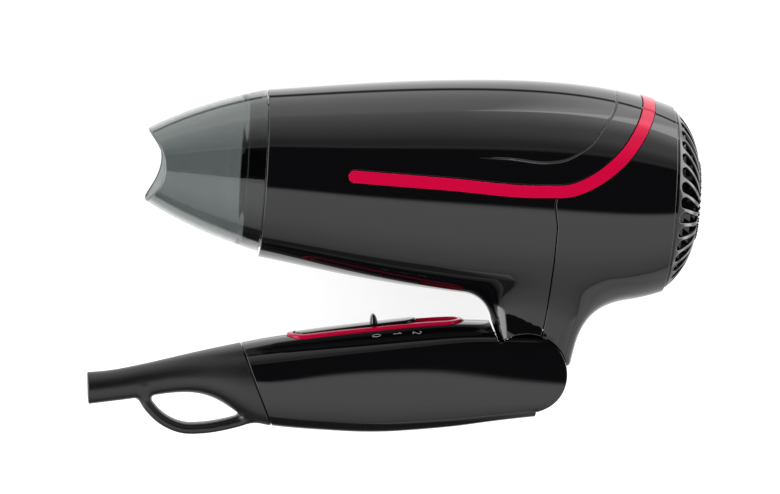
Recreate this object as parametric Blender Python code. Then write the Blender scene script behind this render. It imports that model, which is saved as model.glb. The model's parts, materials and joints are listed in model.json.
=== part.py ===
"""Travel hair dryer with a folding handle, as an assembly of separate pieces.

The dryer lies on its side: the barrel runs along X, the folded handle lies beside it
towards -Y, and the plane that halves both is horizontal.  Outlines are drawn in
millimetres in the barrel frame (origin at the nozzle seam, +X to the air intake) or in
the handle frame (origin on the hinge axis, -X towards the cord), and meshes are scaled
to metres when they are made.
"""

import math

import bmesh
import bpy
import numpy as np
from mathutils import Matrix, Vector

MM = 0.001
GAP = 0.3                # clearance between pieces that touch on the real dryer
HALF_GAP = 0.15

# Where the barrel frame sits, so that the whole dryer is centred on the origin.
SEAM_X = -52.82
SEAM_Y = 30.7
MID_PLANE = 38.86

# Barrel outline seen from the side: height above and below the axis, and half width.
BARREL_TOP = [(0, 32.0), (7, 32.9), (26, 35.3), (44, 37.5), (62, 39.2), (81, 40.7), (99, 41.3),
              (113, 41.4), (127, 40.7), (138, 39.3), (150, 36.8), (158, 34.4)]
BARREL_BOTTOM = [(0, 32.3), (12, 34.1), (30, 36.9), (49, 39.1), (68, 41.0), (85, 42.3),
                 (105, 43.0), (125, 42.6), (138, 41.6), (150, 39.2), (158, 35.9)]
BARREL_WIDTH = [(0, 32.2), (25, 35.2), (60, 37.9), (100, 38.5), (130, 38.0), (150, 36.3), (158, 34.9)]
BARREL_WALL = 2.2
BARREL_STATIONS = (0, 1.5, 12, 26, 44, 62, 81, 99, 113, 127, 138, 149, 155, 156.7)
CAVITY_STATIONS = (2.5, 26, 50, 81, 113, 138, 150, 159)

# Outlet: the spigot that the nozzle slides over.
SPIGOT_RADIUS = 29.0
SPIGOT_TIP_RADIUS = 27.7
SPIGOT_LENGTH = 7.0
OUTLET_RADIUS = 25.9

# Nozzle: outer half height and half width from the seam to the mouth.
NOZZLE_LENGTH = 45.7
NOZZLE_HEIGHT = [(-45.7, 14.4), (-42.5, 16.1), (-33.2, 20.6), (-23.1, 24.4), (-13.8, 27.2),
                 (-4.6, 29.7), (-0.3, 30.7)]
NOZZLE_WIDTH = [(-45.7, 16.0), (-33.2, 21.2), (-23.1, 24.7), (-13.8, 27.4), (-4.6, 29.8), (-0.3, 30.7)]
NOZZLE_WALL = 1.2
NOZZLE_NOTCH_DEPTH = 7.4

# Neck: front edge, rear edge and half width at each height below the axis.
NECK_SECTIONS = [(-30.0, 82.0, 132.0, 26.0), (-36.0, 79.5, 135.0, 25.0), (-41.0, 78.0, 137.0, 22.5),
                 (-43.0, 84.8, 135.5, 20.8), (-45.0, 87.7, 132.4, 19.6), (-47.0, 89.8, 130.6, 18.8),
                 (-49.5, 91.2, 128.6, 18.1), (-53.5, 92.0, 125.9, 17.4), (-56.0, 93.2, 125.1, 17.2),
                 (-58.5, 95.1, 124.5, 17.0), (-68.5, 100.0, 123.5, 16.8)]
NECK_CAVITY = [(-28.0, 90.0, 126.0, 18.0), (-44.0, 91.0, 127.0, 17.0), (-50.0, 94.4, 125.0, 15.4),
               (-55.0, 95.6, 122.6, 14.8), (-60.0, 96.5, 121.6, 14.6)]
NECK_SCREW_Y = -43.6
NECK_SCREW_TIP_X = 97.4
NECK_SCREW_SEAT_X = 122.3
NECK_POST_RADIUS = 4.2
SADDLE_RADIUS = 16.2     # round seat that the handle's head turns in
SADDLE_ROOF = 18.6
NECK_TIP_Y = -66.5

# Line between the front and rear casings, from the neck up under the ribbon to the top.
CASING_SEAM = [(109.5, -75.0), (110.7, -52.8), (111.3, -47.2), (111.6, -30.9), (111.6, -11.5),
               (111.7, 2.9), (116.1, 4.6), (125.8, 9.5), (131.4, 14.0), (137.8, 21.0), (141.3, 26.3),
               (143.9, 31.1), (145.8, 35.7), (146.8, 50.0)]

# Ribbon: centreline seen from the side, its tip at the front and its crossing at the top.
RIBBON_LINE = [(33.2, 4.3), (67.4, 3.8), (105.5, 3.1), (116.1, 4.6), (125.8, 9.5), (131.4, 14.0),
               (137.8, 21.0), (141.3, 26.3), (143.9, 31.1), (145.8, 35.7), (146.8, 44.0)]
RIBBON_WIDTH = 4.7
RIBBON_PROUD = 0.5
RIBBON_DEPTH = 0.9

# Air intake grille.
GRILLE_CENTRE_Y = -0.9
GRILLE_RADIUS = 34.4
GRILLE_BASE_X = 157.0
GRILLE_DOME = 11.2
GRILLE_WALL = 1.8
GRILLE_SLOTS = 34
SLOT_RINGS = (15.0, 21.0, 27.0, 33.2)
SLOT_SWIRL = math.radians(38)
SLOT_SHARE_INSIDE = 0.36
SLOT_SHARE_OUTSIDE = 0.62
CENTRE_DISC_RADIUS = 7.0
SKIRT_INNER = 31.0
SKIRT_OUTER = 32.0
SKIRT_DEPTH = 4.0

# Fan, motor and heater, all on one axis inside the barrel.
AIR_AXIS_Y = -0.8
FAN_X = 128.0
FAN_BLADES = 7
BLADE_CHORD = 7.4
BLADE_THICKNESS = 1.3
BLADE_TWISTS = ((10.8, 0.95), (21.0, 0.72), (30.6, 0.5))
BLADE_HALF_DEPTH = 5.5
HUB_RADIUS = 12.0
DUCT_RADIUS = 33.5
DUCT_WALL = 1.5
DUCT_ENDS = (112.0, 138.0)
DUCT_VANES = 5
POD_WALL = 1.6
POD_ENDS = (94.0, 121.5)
MOTOR_RADIUS = 12.2
MOTOR_ENDS = (92.0, 119.6)
SHAFT_RADIUS = 1.15
BOARD_RADIUS = 11.0
DIODES = 4
HEATER_START = 10.0
HEATER_END = 62.0
HEATER_RADIUS = 23.0
MICA_HALF = 0.4
SLEEVE_RADIUS = 26.2
COIL_TURNS = 9
COIL_WIRE = 0.45
GRID_RINGS = ((17.5, 16), (9.0, 12))
GRID_ENDS = (-4.0, -1.5)
GRID_SPOKES = 3

# Hinge between the neck and the handle.
HINGE_X = 105.6
HINGE_Y = -70.4
HEAD_RADIUS = 15.8
LUG_HALF_WIDTH = 6.0
LUG_RADIUS = 12.6
STEM_X = (99.6, 110.8)
PIN_RADIUS = 3.0
PIN_HALF_LENGTH = 11.5
PIN_BOSS_RADIUS = 6.4
WASHER_RADIUS = 5.8
WASHER_THICKNESS = 0.7
FOLDED_ANGLE = math.radians(5.77)
SLOT_FROM = math.radians(-24)
SLOT_TO = math.radians(114)

# Handle and boot outline in the handle frame.
GRIP_TOP = [(-168.2, 6.2), (-162.0, 6.3), (-149.0, 8.0), (-143.3, 9.0), (-125.5, 12.4), (-108.6, 15.3),
            (-99.9, 16.7), (-91.0, 17.9), (-75.0, 19.2), (-57.0, 20.2), (-40.0, 21.0), (-22.7, 20.9),
            (-14.0, 20.1), (3.3, 18.4), (17.0, 17.6)]
GRIP_BOTTOM = [(-168.2, 6.2), (-149.0, 4.6), (-135.0, 3.1), (-126.0, 3.5), (-117.4, 6.9), (-110.9, 12.0),
               (-104.0, 16.1), (-98.3, 17.2), (-87.2, 18.6), (-76.3, 19.7), (-67.4, 20.4), (-55.0, 20.9),
               (-41.1, 20.6), (-27.2, 19.9), (-13.3, 18.5), (3.3, 17.2), (17.0, 16.6)]
GRIP_WIDTH = [(-168.2, 6.2), (-149.0, 6.3), (-135.0, 7.8), (-125.0, 9.8), (-115.0, 12.6), (-106.0, 14.6),
              (-94.0, 15.8), (-80.0, 16.7), (-60.0, 17.4), (-40.0, 17.5), (-20.0, 17.1), (0.0, 16.6),
              (17.0, 16.0)]
GRIP_POWER = [(-168.2, 2.0), (-110.0, 2.2), (-60.0, 2.3), (-30.0, 2.6), (-12.0, 3.2), (17.0, 3.6)]
GRIP_WALL = 2.0
SHOULDER = [(-13.0, 22.0), (-12.5, 18.2), (-11.6, 15.6), (-10.3, 13.5)]
HEAD_STARTS = (-9.6, 12.55)
LIP_X = 3.3
LIP_Y = -15.4
BOOT_SEAM_TOP = (-108.6, 15.3)
BOOT_SEAM_BOTTOM = (-98.3, -17.1)
CORD_HOLE_RADIUS = 3.8
LOOP_PATH = [(-146.6, -1.0), (-146.4, -5.0), (-143.6, -9.6), (-138.8, -14.0), (-132.6, -16.8),
             (-125.0, -17.3), (-116.5, -16.4), (-108.5, -14.6), (-103.0, -12.6)]
LOOP_THICKNESS = 4.4
LOOP_WIDTH = 9.0

# Switch deck: a straight track let into the top of the handle.
DECK_X = -57.0
DECK_Y = 17.9
DECK_TILT = math.radians(2.5)
TRIM_BACK = -34.4
TRIM_FRONT = 34.5
TRIM_HALF_WIDTH = 8.5
TRIM_BAND = 2.2
TRIM_FLOOR = 1.3
TRIM_PROUD = 0.9
SLIDER_BACK = -30.6
SLIDER_FRONT = 15.9
SLIDER_PROUD = 1.5
FIN_SIDE = [(-1.3, 1.0), (1.3, 1.0), (1.1, 5.6), (0.4, 7.4), (-0.4, 7.4), (-1.1, 5.6)]
FIN_HALF_WIDTH = 4.2
PEG_FROM = -9.9
PEG_TO = -5.9
PEG_HALF_WIDTH = 1.4
PEG_SLOT_END = 11.0

HANDLE_SCREWS = [(-88.0, -6.0), (-52.0, -8.0), (-24.0, -8.0)]
SCREW_SHANK = 1.3
SCREW_HEAD = 2.7
SCREW_SEAT = 8.3
SCREW_HEAD_HEIGHT = 2.0
SCREW_POST_RADIUS = 3.6
SCREW_POST_END = 13.3
LEAD_RADIUS = 0.9


# ---------------------------------------------------------------- scene and materials

def clear_scene():
    for obj in list(bpy.data.objects):
        bpy.data.objects.remove(obj)


def material(name, colour, roughness, metallic=0.0):
    """Principled material with the piece's own colour, roughness and metallic value."""
    surface = bpy.data.materials.new(name)
    surface.use_nodes = True
    shader = surface.node_tree.nodes["Principled BSDF"]
    shader.inputs["Base Color"].default_value = (*colour, 1.0)
    shader.inputs["Roughness"].default_value = roughness
    shader.inputs["Metallic"].default_value = metallic
    return surface


def empty(name, x, y, z, turn=0.0, parent=None):
    """Marker on a joint axis; x, y and z are in millimetres."""
    marker = bpy.data.objects.new(name, None)
    marker.location = (x * MM, y * MM, z * MM)
    marker.rotation_euler = (0.0, 0.0, turn)
    marker.parent = parent
    bpy.context.scene.collection.objects.link(marker)
    return marker


def make_object(name, shape, parent, surface):
    """Turn a bmesh in millimetres into an object in metres."""
    bmesh.ops.recalc_face_normals(shape, faces=shape.faces)
    bmesh.ops.scale(shape, vec=(MM, MM, MM), verts=shape.verts)
    mesh = bpy.data.meshes.new(name)
    shape.to_mesh(mesh)
    shape.free()
    mesh.materials.append(surface)
    mesh.shade_smooth()
    mesh.set_sharp_from_angle(angle=math.radians(35))
    obj = bpy.data.objects.new(name, mesh)
    obj.parent = parent
    bpy.context.scene.collection.objects.link(obj)
    return obj


def make_cutter(name, shape, parent, surface):
    """A shape that only cuts or adds to others."""
    tool = make_object(name, shape, parent, surface)
    tool.hide_render = True
    tool.display_type = "WIRE"
    return tool


def boolean(obj, operation, tool):
    step = obj.modifiers.new(tool.name, "BOOLEAN")
    step.operation = operation
    step.solver = "EXACT"
    step.object = tool


# ---------------------------------------------------------------- outlines and shapes

def smooth(points, x):
    """Value at x of a smooth curve through an outline's points."""
    xs = np.array([point[0] for point in points], float)
    ys = np.array([point[1] for point in points], float)
    slopes = np.gradient(ys, xs)
    i = int(np.clip(np.searchsorted(xs, x) - 1, 0, len(xs) - 2))
    span = xs[i + 1] - xs[i]
    t = min(max((x - xs[i]) / span, 0.0), 1.0)
    start = (1 + 2 * t) * (1 - t) ** 2 * ys[i] + t * (1 - t) ** 2 * span * slopes[i]
    end = t * t * (3 - 2 * t) * ys[i + 1] + t * t * (t - 1) * span * slopes[i + 1]
    return float(start + end)


def smooth_line(points, steps):
    """Points along a smooth curve through hand-set points in two or three dimensions."""
    knots = np.array(points, float)
    reach = np.concatenate([[0.0], np.cumsum(np.linalg.norm(np.diff(knots, axis=0), axis=1))])
    axes = [list(zip(reach, knots[:, axis])) for axis in range(knots.shape[1])]
    return [tuple(smooth(axis, s) for axis in axes) for s in np.linspace(0, reach[-1], steps)]


def oval_ring(x, top, bottom, half_width, count, power=2.1, centre_y=0.0):
    """Ring across X; its height above and below the centre may differ."""
    ring = []
    for k in range(count):
        angle = 2 * math.pi * (k + 0.5) / count
        height = top if math.sin(angle) > 0 else bottom
        y = height * math.copysign(abs(math.sin(angle)) ** (2 / power), math.sin(angle))
        z = half_width * math.copysign(abs(math.cos(angle)) ** (2 / power), math.cos(angle))
        ring.append((x, centre_y + y, z))
    return ring


def flat_ring(y, front, rear, half_width, count, power=2.6):
    """Ring across Y between a front and a rear edge."""
    ring = []
    for k in range(count):
        angle = 2 * math.pi * (k + 0.5) / count
        x = math.copysign(abs(math.cos(angle)) ** (2 / power), math.cos(angle))
        z = math.copysign(abs(math.sin(angle)) ** (2 / power), math.sin(angle))
        ring.append(((front + rear) / 2 + (rear - front) / 2 * x, y, half_width * z))
    return ring


def loft(rings, closed=False):
    """Skin through rings of points, capped at both ends unless it closes on itself."""
    shape = bmesh.new()
    loops = [[shape.verts.new(point) for point in ring] for ring in rings]
    pairs = list(zip(loops, loops[1:]))
    if closed:
        pairs.append((loops[-1], loops[0]))
    for first, second in pairs:
        for k in range(len(first)):
            n = (k + 1) % len(first)
            shape.faces.new((first[k], first[n], second[n], second[k]))
    if not closed:
        shape.faces.new(loops[0])
        shape.faces.new(loops[-1])
    return shape


def turned(profile, segments, axis="X", centre=(0.0, 0.0, 0.0), ring=False):
    """Turned shape from (along, radius) points; a ring's profile closes on itself."""
    rings = []
    for along, radius in profile:
        loop = []
        for k in range(segments):
            angle = 2 * math.pi * (k + 0.5) / segments
            across = (radius * math.cos(angle), radius * math.sin(angle))
            point = (along, *across) if axis == "X" else (*across, along)
            loop.append(tuple(c + p for c, p in zip(centre, point)))
        rings.append(loop)
    return loft(rings, closed=ring)


def prism(outline, low, high):
    """Outline in the XY plane, extruded along Z."""
    return loft([[(x, y, z) for x, y in outline] for z in (low, high)])


def box(x, y, z):
    """Box from three (low, high) pairs."""
    corners = [(x[0], y[0]), (x[1], y[0]), (x[1], y[1]), (x[0], y[1])]
    return prism(corners, z[0], z[1])


def sweep(points, half_in, half_out, sides):
    """Tube along a line of points, with its second half size across the line's plane."""
    line = [Vector(point) for point in points]
    rings = []
    across = Vector((0.0, 0.0, 1.0))
    for k, point in enumerate(line):
        ahead = line[min(k + 1, len(line) - 1)] - line[max(k - 1, 0)]
        ahead.normalize()
        across = (across - across.dot(ahead) * ahead).normalized()
        side = across.cross(ahead)
        ring = []
        for s in range(sides):
            angle = 2 * math.pi * (s + 0.5) / sides
            ring.append(tuple(point + half_in * math.cos(angle) * side + half_out * math.sin(angle) * across))
        rings.append(ring)
    return loft(rings)


def offset_line(points, distance):
    """Open line moved sideways, to the left of its direction."""
    line = [Vector(point) for point in points]
    moved = []
    for k, point in enumerate(line):
        ahead = line[min(k + 1, len(line) - 1)] - line[max(k - 1, 0)]
        ahead.normalize()
        moved.append((point.x - distance * ahead.y, point.y + distance * ahead.x))
    return moved


def stadium(back, front, half_width, steps=8):
    """Slot outline in (x, z) with round ends."""
    outline = []
    for k in range(steps + 1):
        angle = -math.pi / 2 + math.pi * k / steps
        outline.append((front - half_width + half_width * math.cos(angle), half_width * math.sin(angle)))
    for k in range(steps + 1):
        angle = math.pi / 2 + math.pi * k / steps
        outline.append((back + half_width + half_width * math.cos(angle), half_width * math.sin(angle)))
    return outline


def upright_prism(outline, low, high):
    """Outline in the XZ plane, extruded along Y."""
    return loft([[(x, y, z) for x, z in outline] for y in (low, high)])


# ---------------------------------------------------------------- barrel

def barrel_ring(x, inset, count):
    """Cross-section of the barrel, moved in by an inset."""
    return oval_ring(x, smooth(BARREL_TOP, x) - inset, smooth(BARREL_BOTTOM, x) - inset,
                     smooth(BARREL_WIDTH, x) - inset, count)


def barrel_solid(inset, stations, count):
    return loft([barrel_ring(x, inset, count) for x in stations])


def ribbon_prism(extra):
    """Band that follows the ribbon's line, with a round tip at the front."""
    line = smooth_line(RIBBON_LINE, 26)
    half = RIBBON_WIDTH / 2 + extra
    upper = offset_line(line, half)
    lower = offset_line(line, -half)
    tip_x, tip_y = line[0]
    tip = []
    for k in range(1, 6):
        angle = math.pi / 2 + math.pi * k / 6
        tip.append((tip_x + half * math.cos(angle), tip_y + half * math.sin(angle)))
    return prism(upper[::-1] + tip + lower, -60.0, 60.0)


def seam_prism(shift):
    """Everything behind the line between the two casings."""
    line = offset_line(CASING_SEAM, -shift)
    return prism(line + [(200.0, 50.0), (200.0, -75.0)], -60.0, 60.0)


def casing_cutters(frame, guide):
    """Shapes shared by the front and rear casings."""
    neck = make_cutter("neck_form", loft([flat_ring(*section, 28) for section in NECK_SECTIONS]),
                       frame, guide)
    spigot_profile = [(-SPIGOT_LENGTH, SPIGOT_TIP_RADIUS), (0.0, SPIGOT_RADIUS), (1.0, SPIGOT_RADIUS)]
    spigot = make_cutter("spigot_form", turned(spigot_profile, 40), frame, guide)
    cavity = make_cutter("barrel_hollow", barrel_solid(BARREL_WALL, CAVITY_STATIONS, 28), frame, guide)
    bore = make_cutter("outlet_bore", turned([(-20.0, OUTLET_RADIUS), (4.0, OUTLET_RADIUS)], 40),
                       frame, guide)
    neck_cavity = make_cutter("neck_hollow", loft([flat_ring(*section, 20) for section in NECK_CAVITY]),
                              frame, guide)
    roof = make_cutter("saddle_roof", turned([(-40.0, SADDLE_ROOF), (40.0, SADDLE_ROOF)], 40, "Z",
                                             (HINGE_X, HINGE_Y, 0.0)), frame, guide)
    boolean(neck_cavity, "DIFFERENCE", roof)
    saddle = make_cutter("saddle_form", turned([(-40.0, SADDLE_RADIUS), (40.0, SADDLE_RADIUS)], 56, "Z",
                                               (HINGE_X, HINGE_Y, 0.0)), frame, guide)
    tip = make_cutter("tip_cut", box((80.0, 140.0), (-80.0, NECK_TIP_Y), (-40.0, 40.0)), frame, guide)
    window_half = LUG_HALF_WIDTH + GAP + 0.1
    window = make_cutter("lug_window", box((STEM_X[0] - 0.4, STEM_X[1] + 0.4), (-62.0, -50.6),
                                           (-window_half, window_half)), frame, guide)
    groove = make_cutter("ribbon_groove", ribbon_prism(GAP), frame, guide)
    core = make_cutter("groove_core", barrel_solid(RIBBON_DEPTH + GAP, BARREL_STATIONS, 36), frame, guide)
    boolean(groove, "DIFFERENCE", core)
    centre = (0.0, NECK_SCREW_Y, 0.0)
    post = make_cutter("neck_post", turned([(90.0, NECK_POST_RADIUS), (130.5, NECK_POST_RADIUS)], 16, "X",
                                           centre), frame, guide)
    seat = NECK_SCREW_SEAT_X - GAP
    steps = [(NECK_SCREW_TIP_X - 0.4, SCREW_SHANK + GAP), (seat, SCREW_SHANK + GAP), (seat, SCREW_HEAD + GAP),
             (150.0, SCREW_HEAD + GAP)]
    post_hole = make_cutter("neck_post_hole", turned(steps, 12, "X", centre), frame, guide)
    return {"neck": neck, "spigot": spigot, "bore": bore, "cavity": cavity, "neck_cavity": neck_cavity,
            "post": post, "post_hole": post_hole, "saddle": saddle, "tip": tip, "window": window,
            "groove": groove}


def add_casings(frame, gloss, guide):
    """Front casing with the outlet and the rear casing, split along the seam line."""
    tools = casing_cutters(frame, guide)
    front_seam = make_cutter("front_seam", seam_prism(-HALF_GAP), frame, guide)
    rear_seam = make_cutter("rear_seam", seam_prism(HALF_GAP), frame, guide)
    for name, seam, side in (("front_casing", front_seam, "DIFFERENCE"),
                             ("rear_casing", rear_seam, "INTERSECT")):
        casing = make_object(name, barrel_solid(0.0, BARREL_STATIONS, 36), frame, gloss)
        boolean(casing, "UNION", tools["neck"])
        if name == "front_casing":
            boolean(casing, "UNION", tools["spigot"])
            boolean(casing, "DIFFERENCE", tools["bore"])
        boolean(casing, "DIFFERENCE", tools["cavity"])
        boolean(casing, "DIFFERENCE", tools["neck_cavity"])
        boolean(casing, "UNION", tools["post"])
        for cut in ("post_hole", "saddle", "tip", "window", "groove"):
            boolean(casing, "DIFFERENCE", tools[cut])
        boolean(casing, side, seam)


def add_ribbon(frame, red, guide):
    """Trim ribbon: one strip up one side, over the top and down the other."""
    ribbon = make_object("trim_ribbon", ribbon_prism(0.0), frame, red)
    skin = make_cutter("ribbon_skin", barrel_solid(-RIBBON_PROUD, BARREL_STATIONS, 36), frame, guide)
    core = make_cutter("ribbon_core", barrel_solid(RIBBON_DEPTH, BARREL_STATIONS, 36), frame, guide)
    boolean(ribbon, "INTERSECT", skin)
    boolean(ribbon, "DIFFERENCE", core)


def dome_x(radius, inset=0.0):
    """Height of the grille's dome at a radius."""
    ratio = min(radius / (GRILLE_RADIUS + 0.4), 1.0)
    return GRILLE_BASE_X - inset + GRILLE_DOME * math.sqrt(1.0 - ratio * ratio)


def slot_edges(radius):
    """Angles of the two edges of every slot at a radius; the slots sweep round the dome."""
    t = (radius - SLOT_RINGS[0]) / (SLOT_RINGS[-1] - SLOT_RINGS[0])
    t = min(max(t, 0.0), 1.0)
    half = math.pi / GRILLE_SLOTS * (SLOT_SHARE_INSIDE + (SLOT_SHARE_OUTSIDE - SLOT_SHARE_INSIDE) * t)
    edges = []
    for slot in range(GRILLE_SLOTS):
        middle = 2 * math.pi * slot / GRILLE_SLOTS + SLOT_SWIRL * (1.0 - t) ** 1.3
        edges += [middle - half, middle + half]
    return edges


def add_grille(frame, gloss):
    """Domed air intake grille with swept slots and a skirt that fits inside the rear casing."""
    rim = SLOT_RINGS[-1]
    skirt_end = GRILLE_BASE_X - SKIRT_DEPTH
    outer = [(dome_x(r), r, r) for r in (CENTRE_DISC_RADIUS, *SLOT_RINGS, GRILLE_RADIUS - 0.4)]
    outer.append((GRILLE_BASE_X, GRILLE_RADIUS, rim))
    inner = [(dome_x(r, GRILLE_WALL), r, r) for r in (CENTRE_DISC_RADIUS, *SLOT_RINGS[:-1])]
    inner += [(dome_x(SKIRT_INNER, GRILLE_WALL), SKIRT_INNER, rim), (skirt_end, SKIRT_INNER, rim),
              (skirt_end, SKIRT_OUTER, rim), (GRILLE_BASE_X, SKIRT_OUTER, rim)]

    shape = bmesh.new()
    stacks = []
    for stack in (outer, inner):
        loops = []
        for along, radius, swept in stack:
            loops.append([shape.verts.new((along, GRILLE_CENTRE_Y + radius * math.cos(angle),
                                           radius * math.sin(angle))) for angle in slot_edges(swept)])
        stacks.append(loops)
    count = 2 * GRILLE_SLOTS
    for loops in stacks:
        for band, (first, second) in enumerate(zip(loops, loops[1:])):
            for k in range(count):
                n = (k + 1) % count
                if 1 <= band <= 3 and k % 2 == 0:
                    continue
                shape.faces.new((first[k], first[n], second[n], second[k]))
        shape.faces.new(loops[0])
    top, under = stacks
    for k in range(0, count, 2):
        n = k + 1
        for band in range(1, 4):
            for edge in (k, n):
                shape.faces.new((top[band][edge], top[band + 1][edge], under[band + 1][edge],
                                 under[band][edge]))
        for band in (1, 4):
            shape.faces.new((top[band][k], top[band][n], under[band][n], under[band][k]))
    for k in range(count):
        n = (k + 1) % count
        shape.faces.new((top[-1][k], top[-1][n], under[-1][n], under[-1][k]))
    make_object("intake_grille", shape, frame, gloss)


def add_nozzle(frame, smoke, guide):
    """Clear concentrator nozzle with a hollowed fish-mouth rim on both sides."""
    stations = (-45.7, -40.0, -33.2, -23.1, -13.8, -7.5, -0.3)
    outer = []
    inner = []
    for x in stations:
        height = smooth(NOZZLE_HEIGHT, x)
        width = smooth(NOZZLE_WIDTH, x)
        outer.append(oval_ring(x, height, height, width, 28, 2.0))
        if x < -8.0:
            inside_x = x - 1.0 if x == stations[0] else x
            inner.append(oval_ring(inside_x, height - NOZZLE_WALL, height - NOZZLE_WALL,
                                   width - NOZZLE_WALL, 28, 2.0))
    tip = SPIGOT_TIP_RADIUS + GAP
    seat = SPIGOT_RADIUS + GAP
    inner.append(oval_ring(-SPIGOT_LENGTH - GAP, tip, tip, tip, 28, 2.0))
    inner.append(oval_ring(0.0, seat, seat, seat, 28, 2.0))
    inner.append(oval_ring(0.5, seat, seat, seat, 28, 2.0))
    nozzle = make_object("nozzle", loft(outer), frame, smoke)
    hollow = make_cutter("nozzle_hollow", loft(inner), frame, guide)
    notch = []
    for k in range(11):
        y = -15.0 + 30.0 * k / 10
        notch.append((-NOZZLE_LENGTH + NOZZLE_NOTCH_DEPTH * (1.0 - (y / 15.0) ** 2), y))
    mouth = make_cutter("nozzle_mouth", prism(notch + [(-60.0, 16.0), (-60.0, -16.0)], -40.0, 40.0),
                        frame, guide)
    boolean(nozzle, "DIFFERENCE", hollow)
    boolean(nozzle, "DIFFERENCE", mouth)


# ---------------------------------------------------------------- fan, motor and heater

def add_fan_duct(frame, plastic, guide):
    """Duct ring joined by vanes to the pod that holds the motor."""
    centre = (0.0, AIR_AXIS_Y, 0.0)
    front, rear = DUCT_ENDS
    inside = DUCT_RADIUS - DUCT_WALL
    ring = [(front, DUCT_RADIUS), (rear, DUCT_RADIUS), (rear, inside), (front, inside)]
    duct = make_object("fan_duct", turned(ring, 28, "X", centre, ring=True), frame, plastic)
    pod_inner = MOTOR_RADIUS + GAP
    pod_outer = pod_inner + POD_WALL
    pod_front, pod_rear = POD_ENDS
    pod = [(pod_front, pod_outer), (pod_rear, pod_outer), (pod_rear, 3.5), (pod_rear - POD_WALL, 3.5),
           (pod_rear - POD_WALL, pod_inner), (pod_front, pod_inner)]
    pod_tool = make_cutter("motor_pod", turned(pod, 20, "X", centre, ring=True), frame, guide)
    boolean(duct, "UNION", pod_tool)
    for vane in range(DUCT_VANES):
        angle = 2 * math.pi * vane / DUCT_VANES + 0.3
        shape = box((front + 0.5, pod_rear - 1.0), (pod_inner + 0.7, DUCT_RADIUS - 0.6), (-0.7, 0.7))
        bmesh.ops.rotate(shape, matrix=Matrix.Rotation(angle, 3, "X"), verts=shape.verts)
        bmesh.ops.translate(shape, vec=centre, verts=shape.verts)
        boolean(duct, "UNION", make_cutter(f"duct_vane_{vane + 1}", shape, frame, guide))


def add_motor(frame, steel, board):
    """Motor can and the rectifier board behind it."""
    centre = (0.0, AIR_AXIS_Y, 0.0)
    rear, front = MOTOR_ENDS
    bearing = SHAFT_RADIUS + GAP
    can = [(rear, 3.0), (rear, MOTOR_RADIUS - 1.0), (rear + 1.0, MOTOR_RADIUS), (front - 0.6, MOTOR_RADIUS),
           (front, MOTOR_RADIUS - 0.8), (front, bearing), (front - 7.6, bearing), (front - 7.6, 3.0)]
    make_object("motor", turned(can, 20, "X", centre, ring=True), frame, steel)
    disc = [(88.2, 2.0), (88.2, BOARD_RADIUS), (89.8, BOARD_RADIUS), (89.8, 2.0)]
    rectifier = make_object("rectifier_board", turned(disc, 20, "X", centre, ring=True), frame, board)
    for k in range(DIODES):
        angle = math.pi / 4 + math.pi / 2 * k
        y = AIR_AXIS_Y + 7.0 * math.cos(angle)
        z = 7.0 * math.sin(angle)
        diode = make_cutter(f"diode_form_{k + 1}", turned([(85.4, 1.5), (89.0, 1.5)], 8, "X", (0.0, y, z)),
                            frame, board)
        boolean(rectifier, "UNION", diode)


def add_fan(frame, plastic, steel, guide):
    """Impeller and its shaft, both turning about the barrel's axis."""
    axis = empty("fan_axis", FAN_X, AIR_AXIS_Y, 0.0, 0.0, frame)
    hub = [(-6.0, SHAFT_RADIUS + GAP), (-6.0, HUB_RADIUS), (4.0, HUB_RADIUS), (6.5, HUB_RADIUS - 4.0),
           (7.0, SHAFT_RADIUS + GAP)]
    fan = make_object("impeller", turned(hub, 28, "X", ring=True), axis, plastic)
    for blade in range(FAN_BLADES):
        rings = []
        for radius, twist in BLADE_TWISTS:
            reach = min(0.62 * BLADE_CHORD * math.cos(twist), BLADE_HALF_DEPTH)
            rise = BLADE_CHORD * math.sin(twist)
            rings.append([(-reach, -rise, radius), (reach, rise, radius),
                          (reach, rise + BLADE_THICKNESS, radius), (-reach, -rise + BLADE_THICKNESS, radius)])
        shape = loft(rings)
        bmesh.ops.rotate(shape, matrix=Matrix.Rotation(2 * math.pi * blade / FAN_BLADES, 3, "X"),
                         verts=shape.verts)
        boolean(fan, "UNION", make_cutter(f"blade_form_{blade + 1}", shape, axis, guide))
    shaft = [(-15.6, SHAFT_RADIUS), (7.5, SHAFT_RADIUS)]
    make_object("motor_shaft", turned(shaft, 16), axis, steel)


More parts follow.
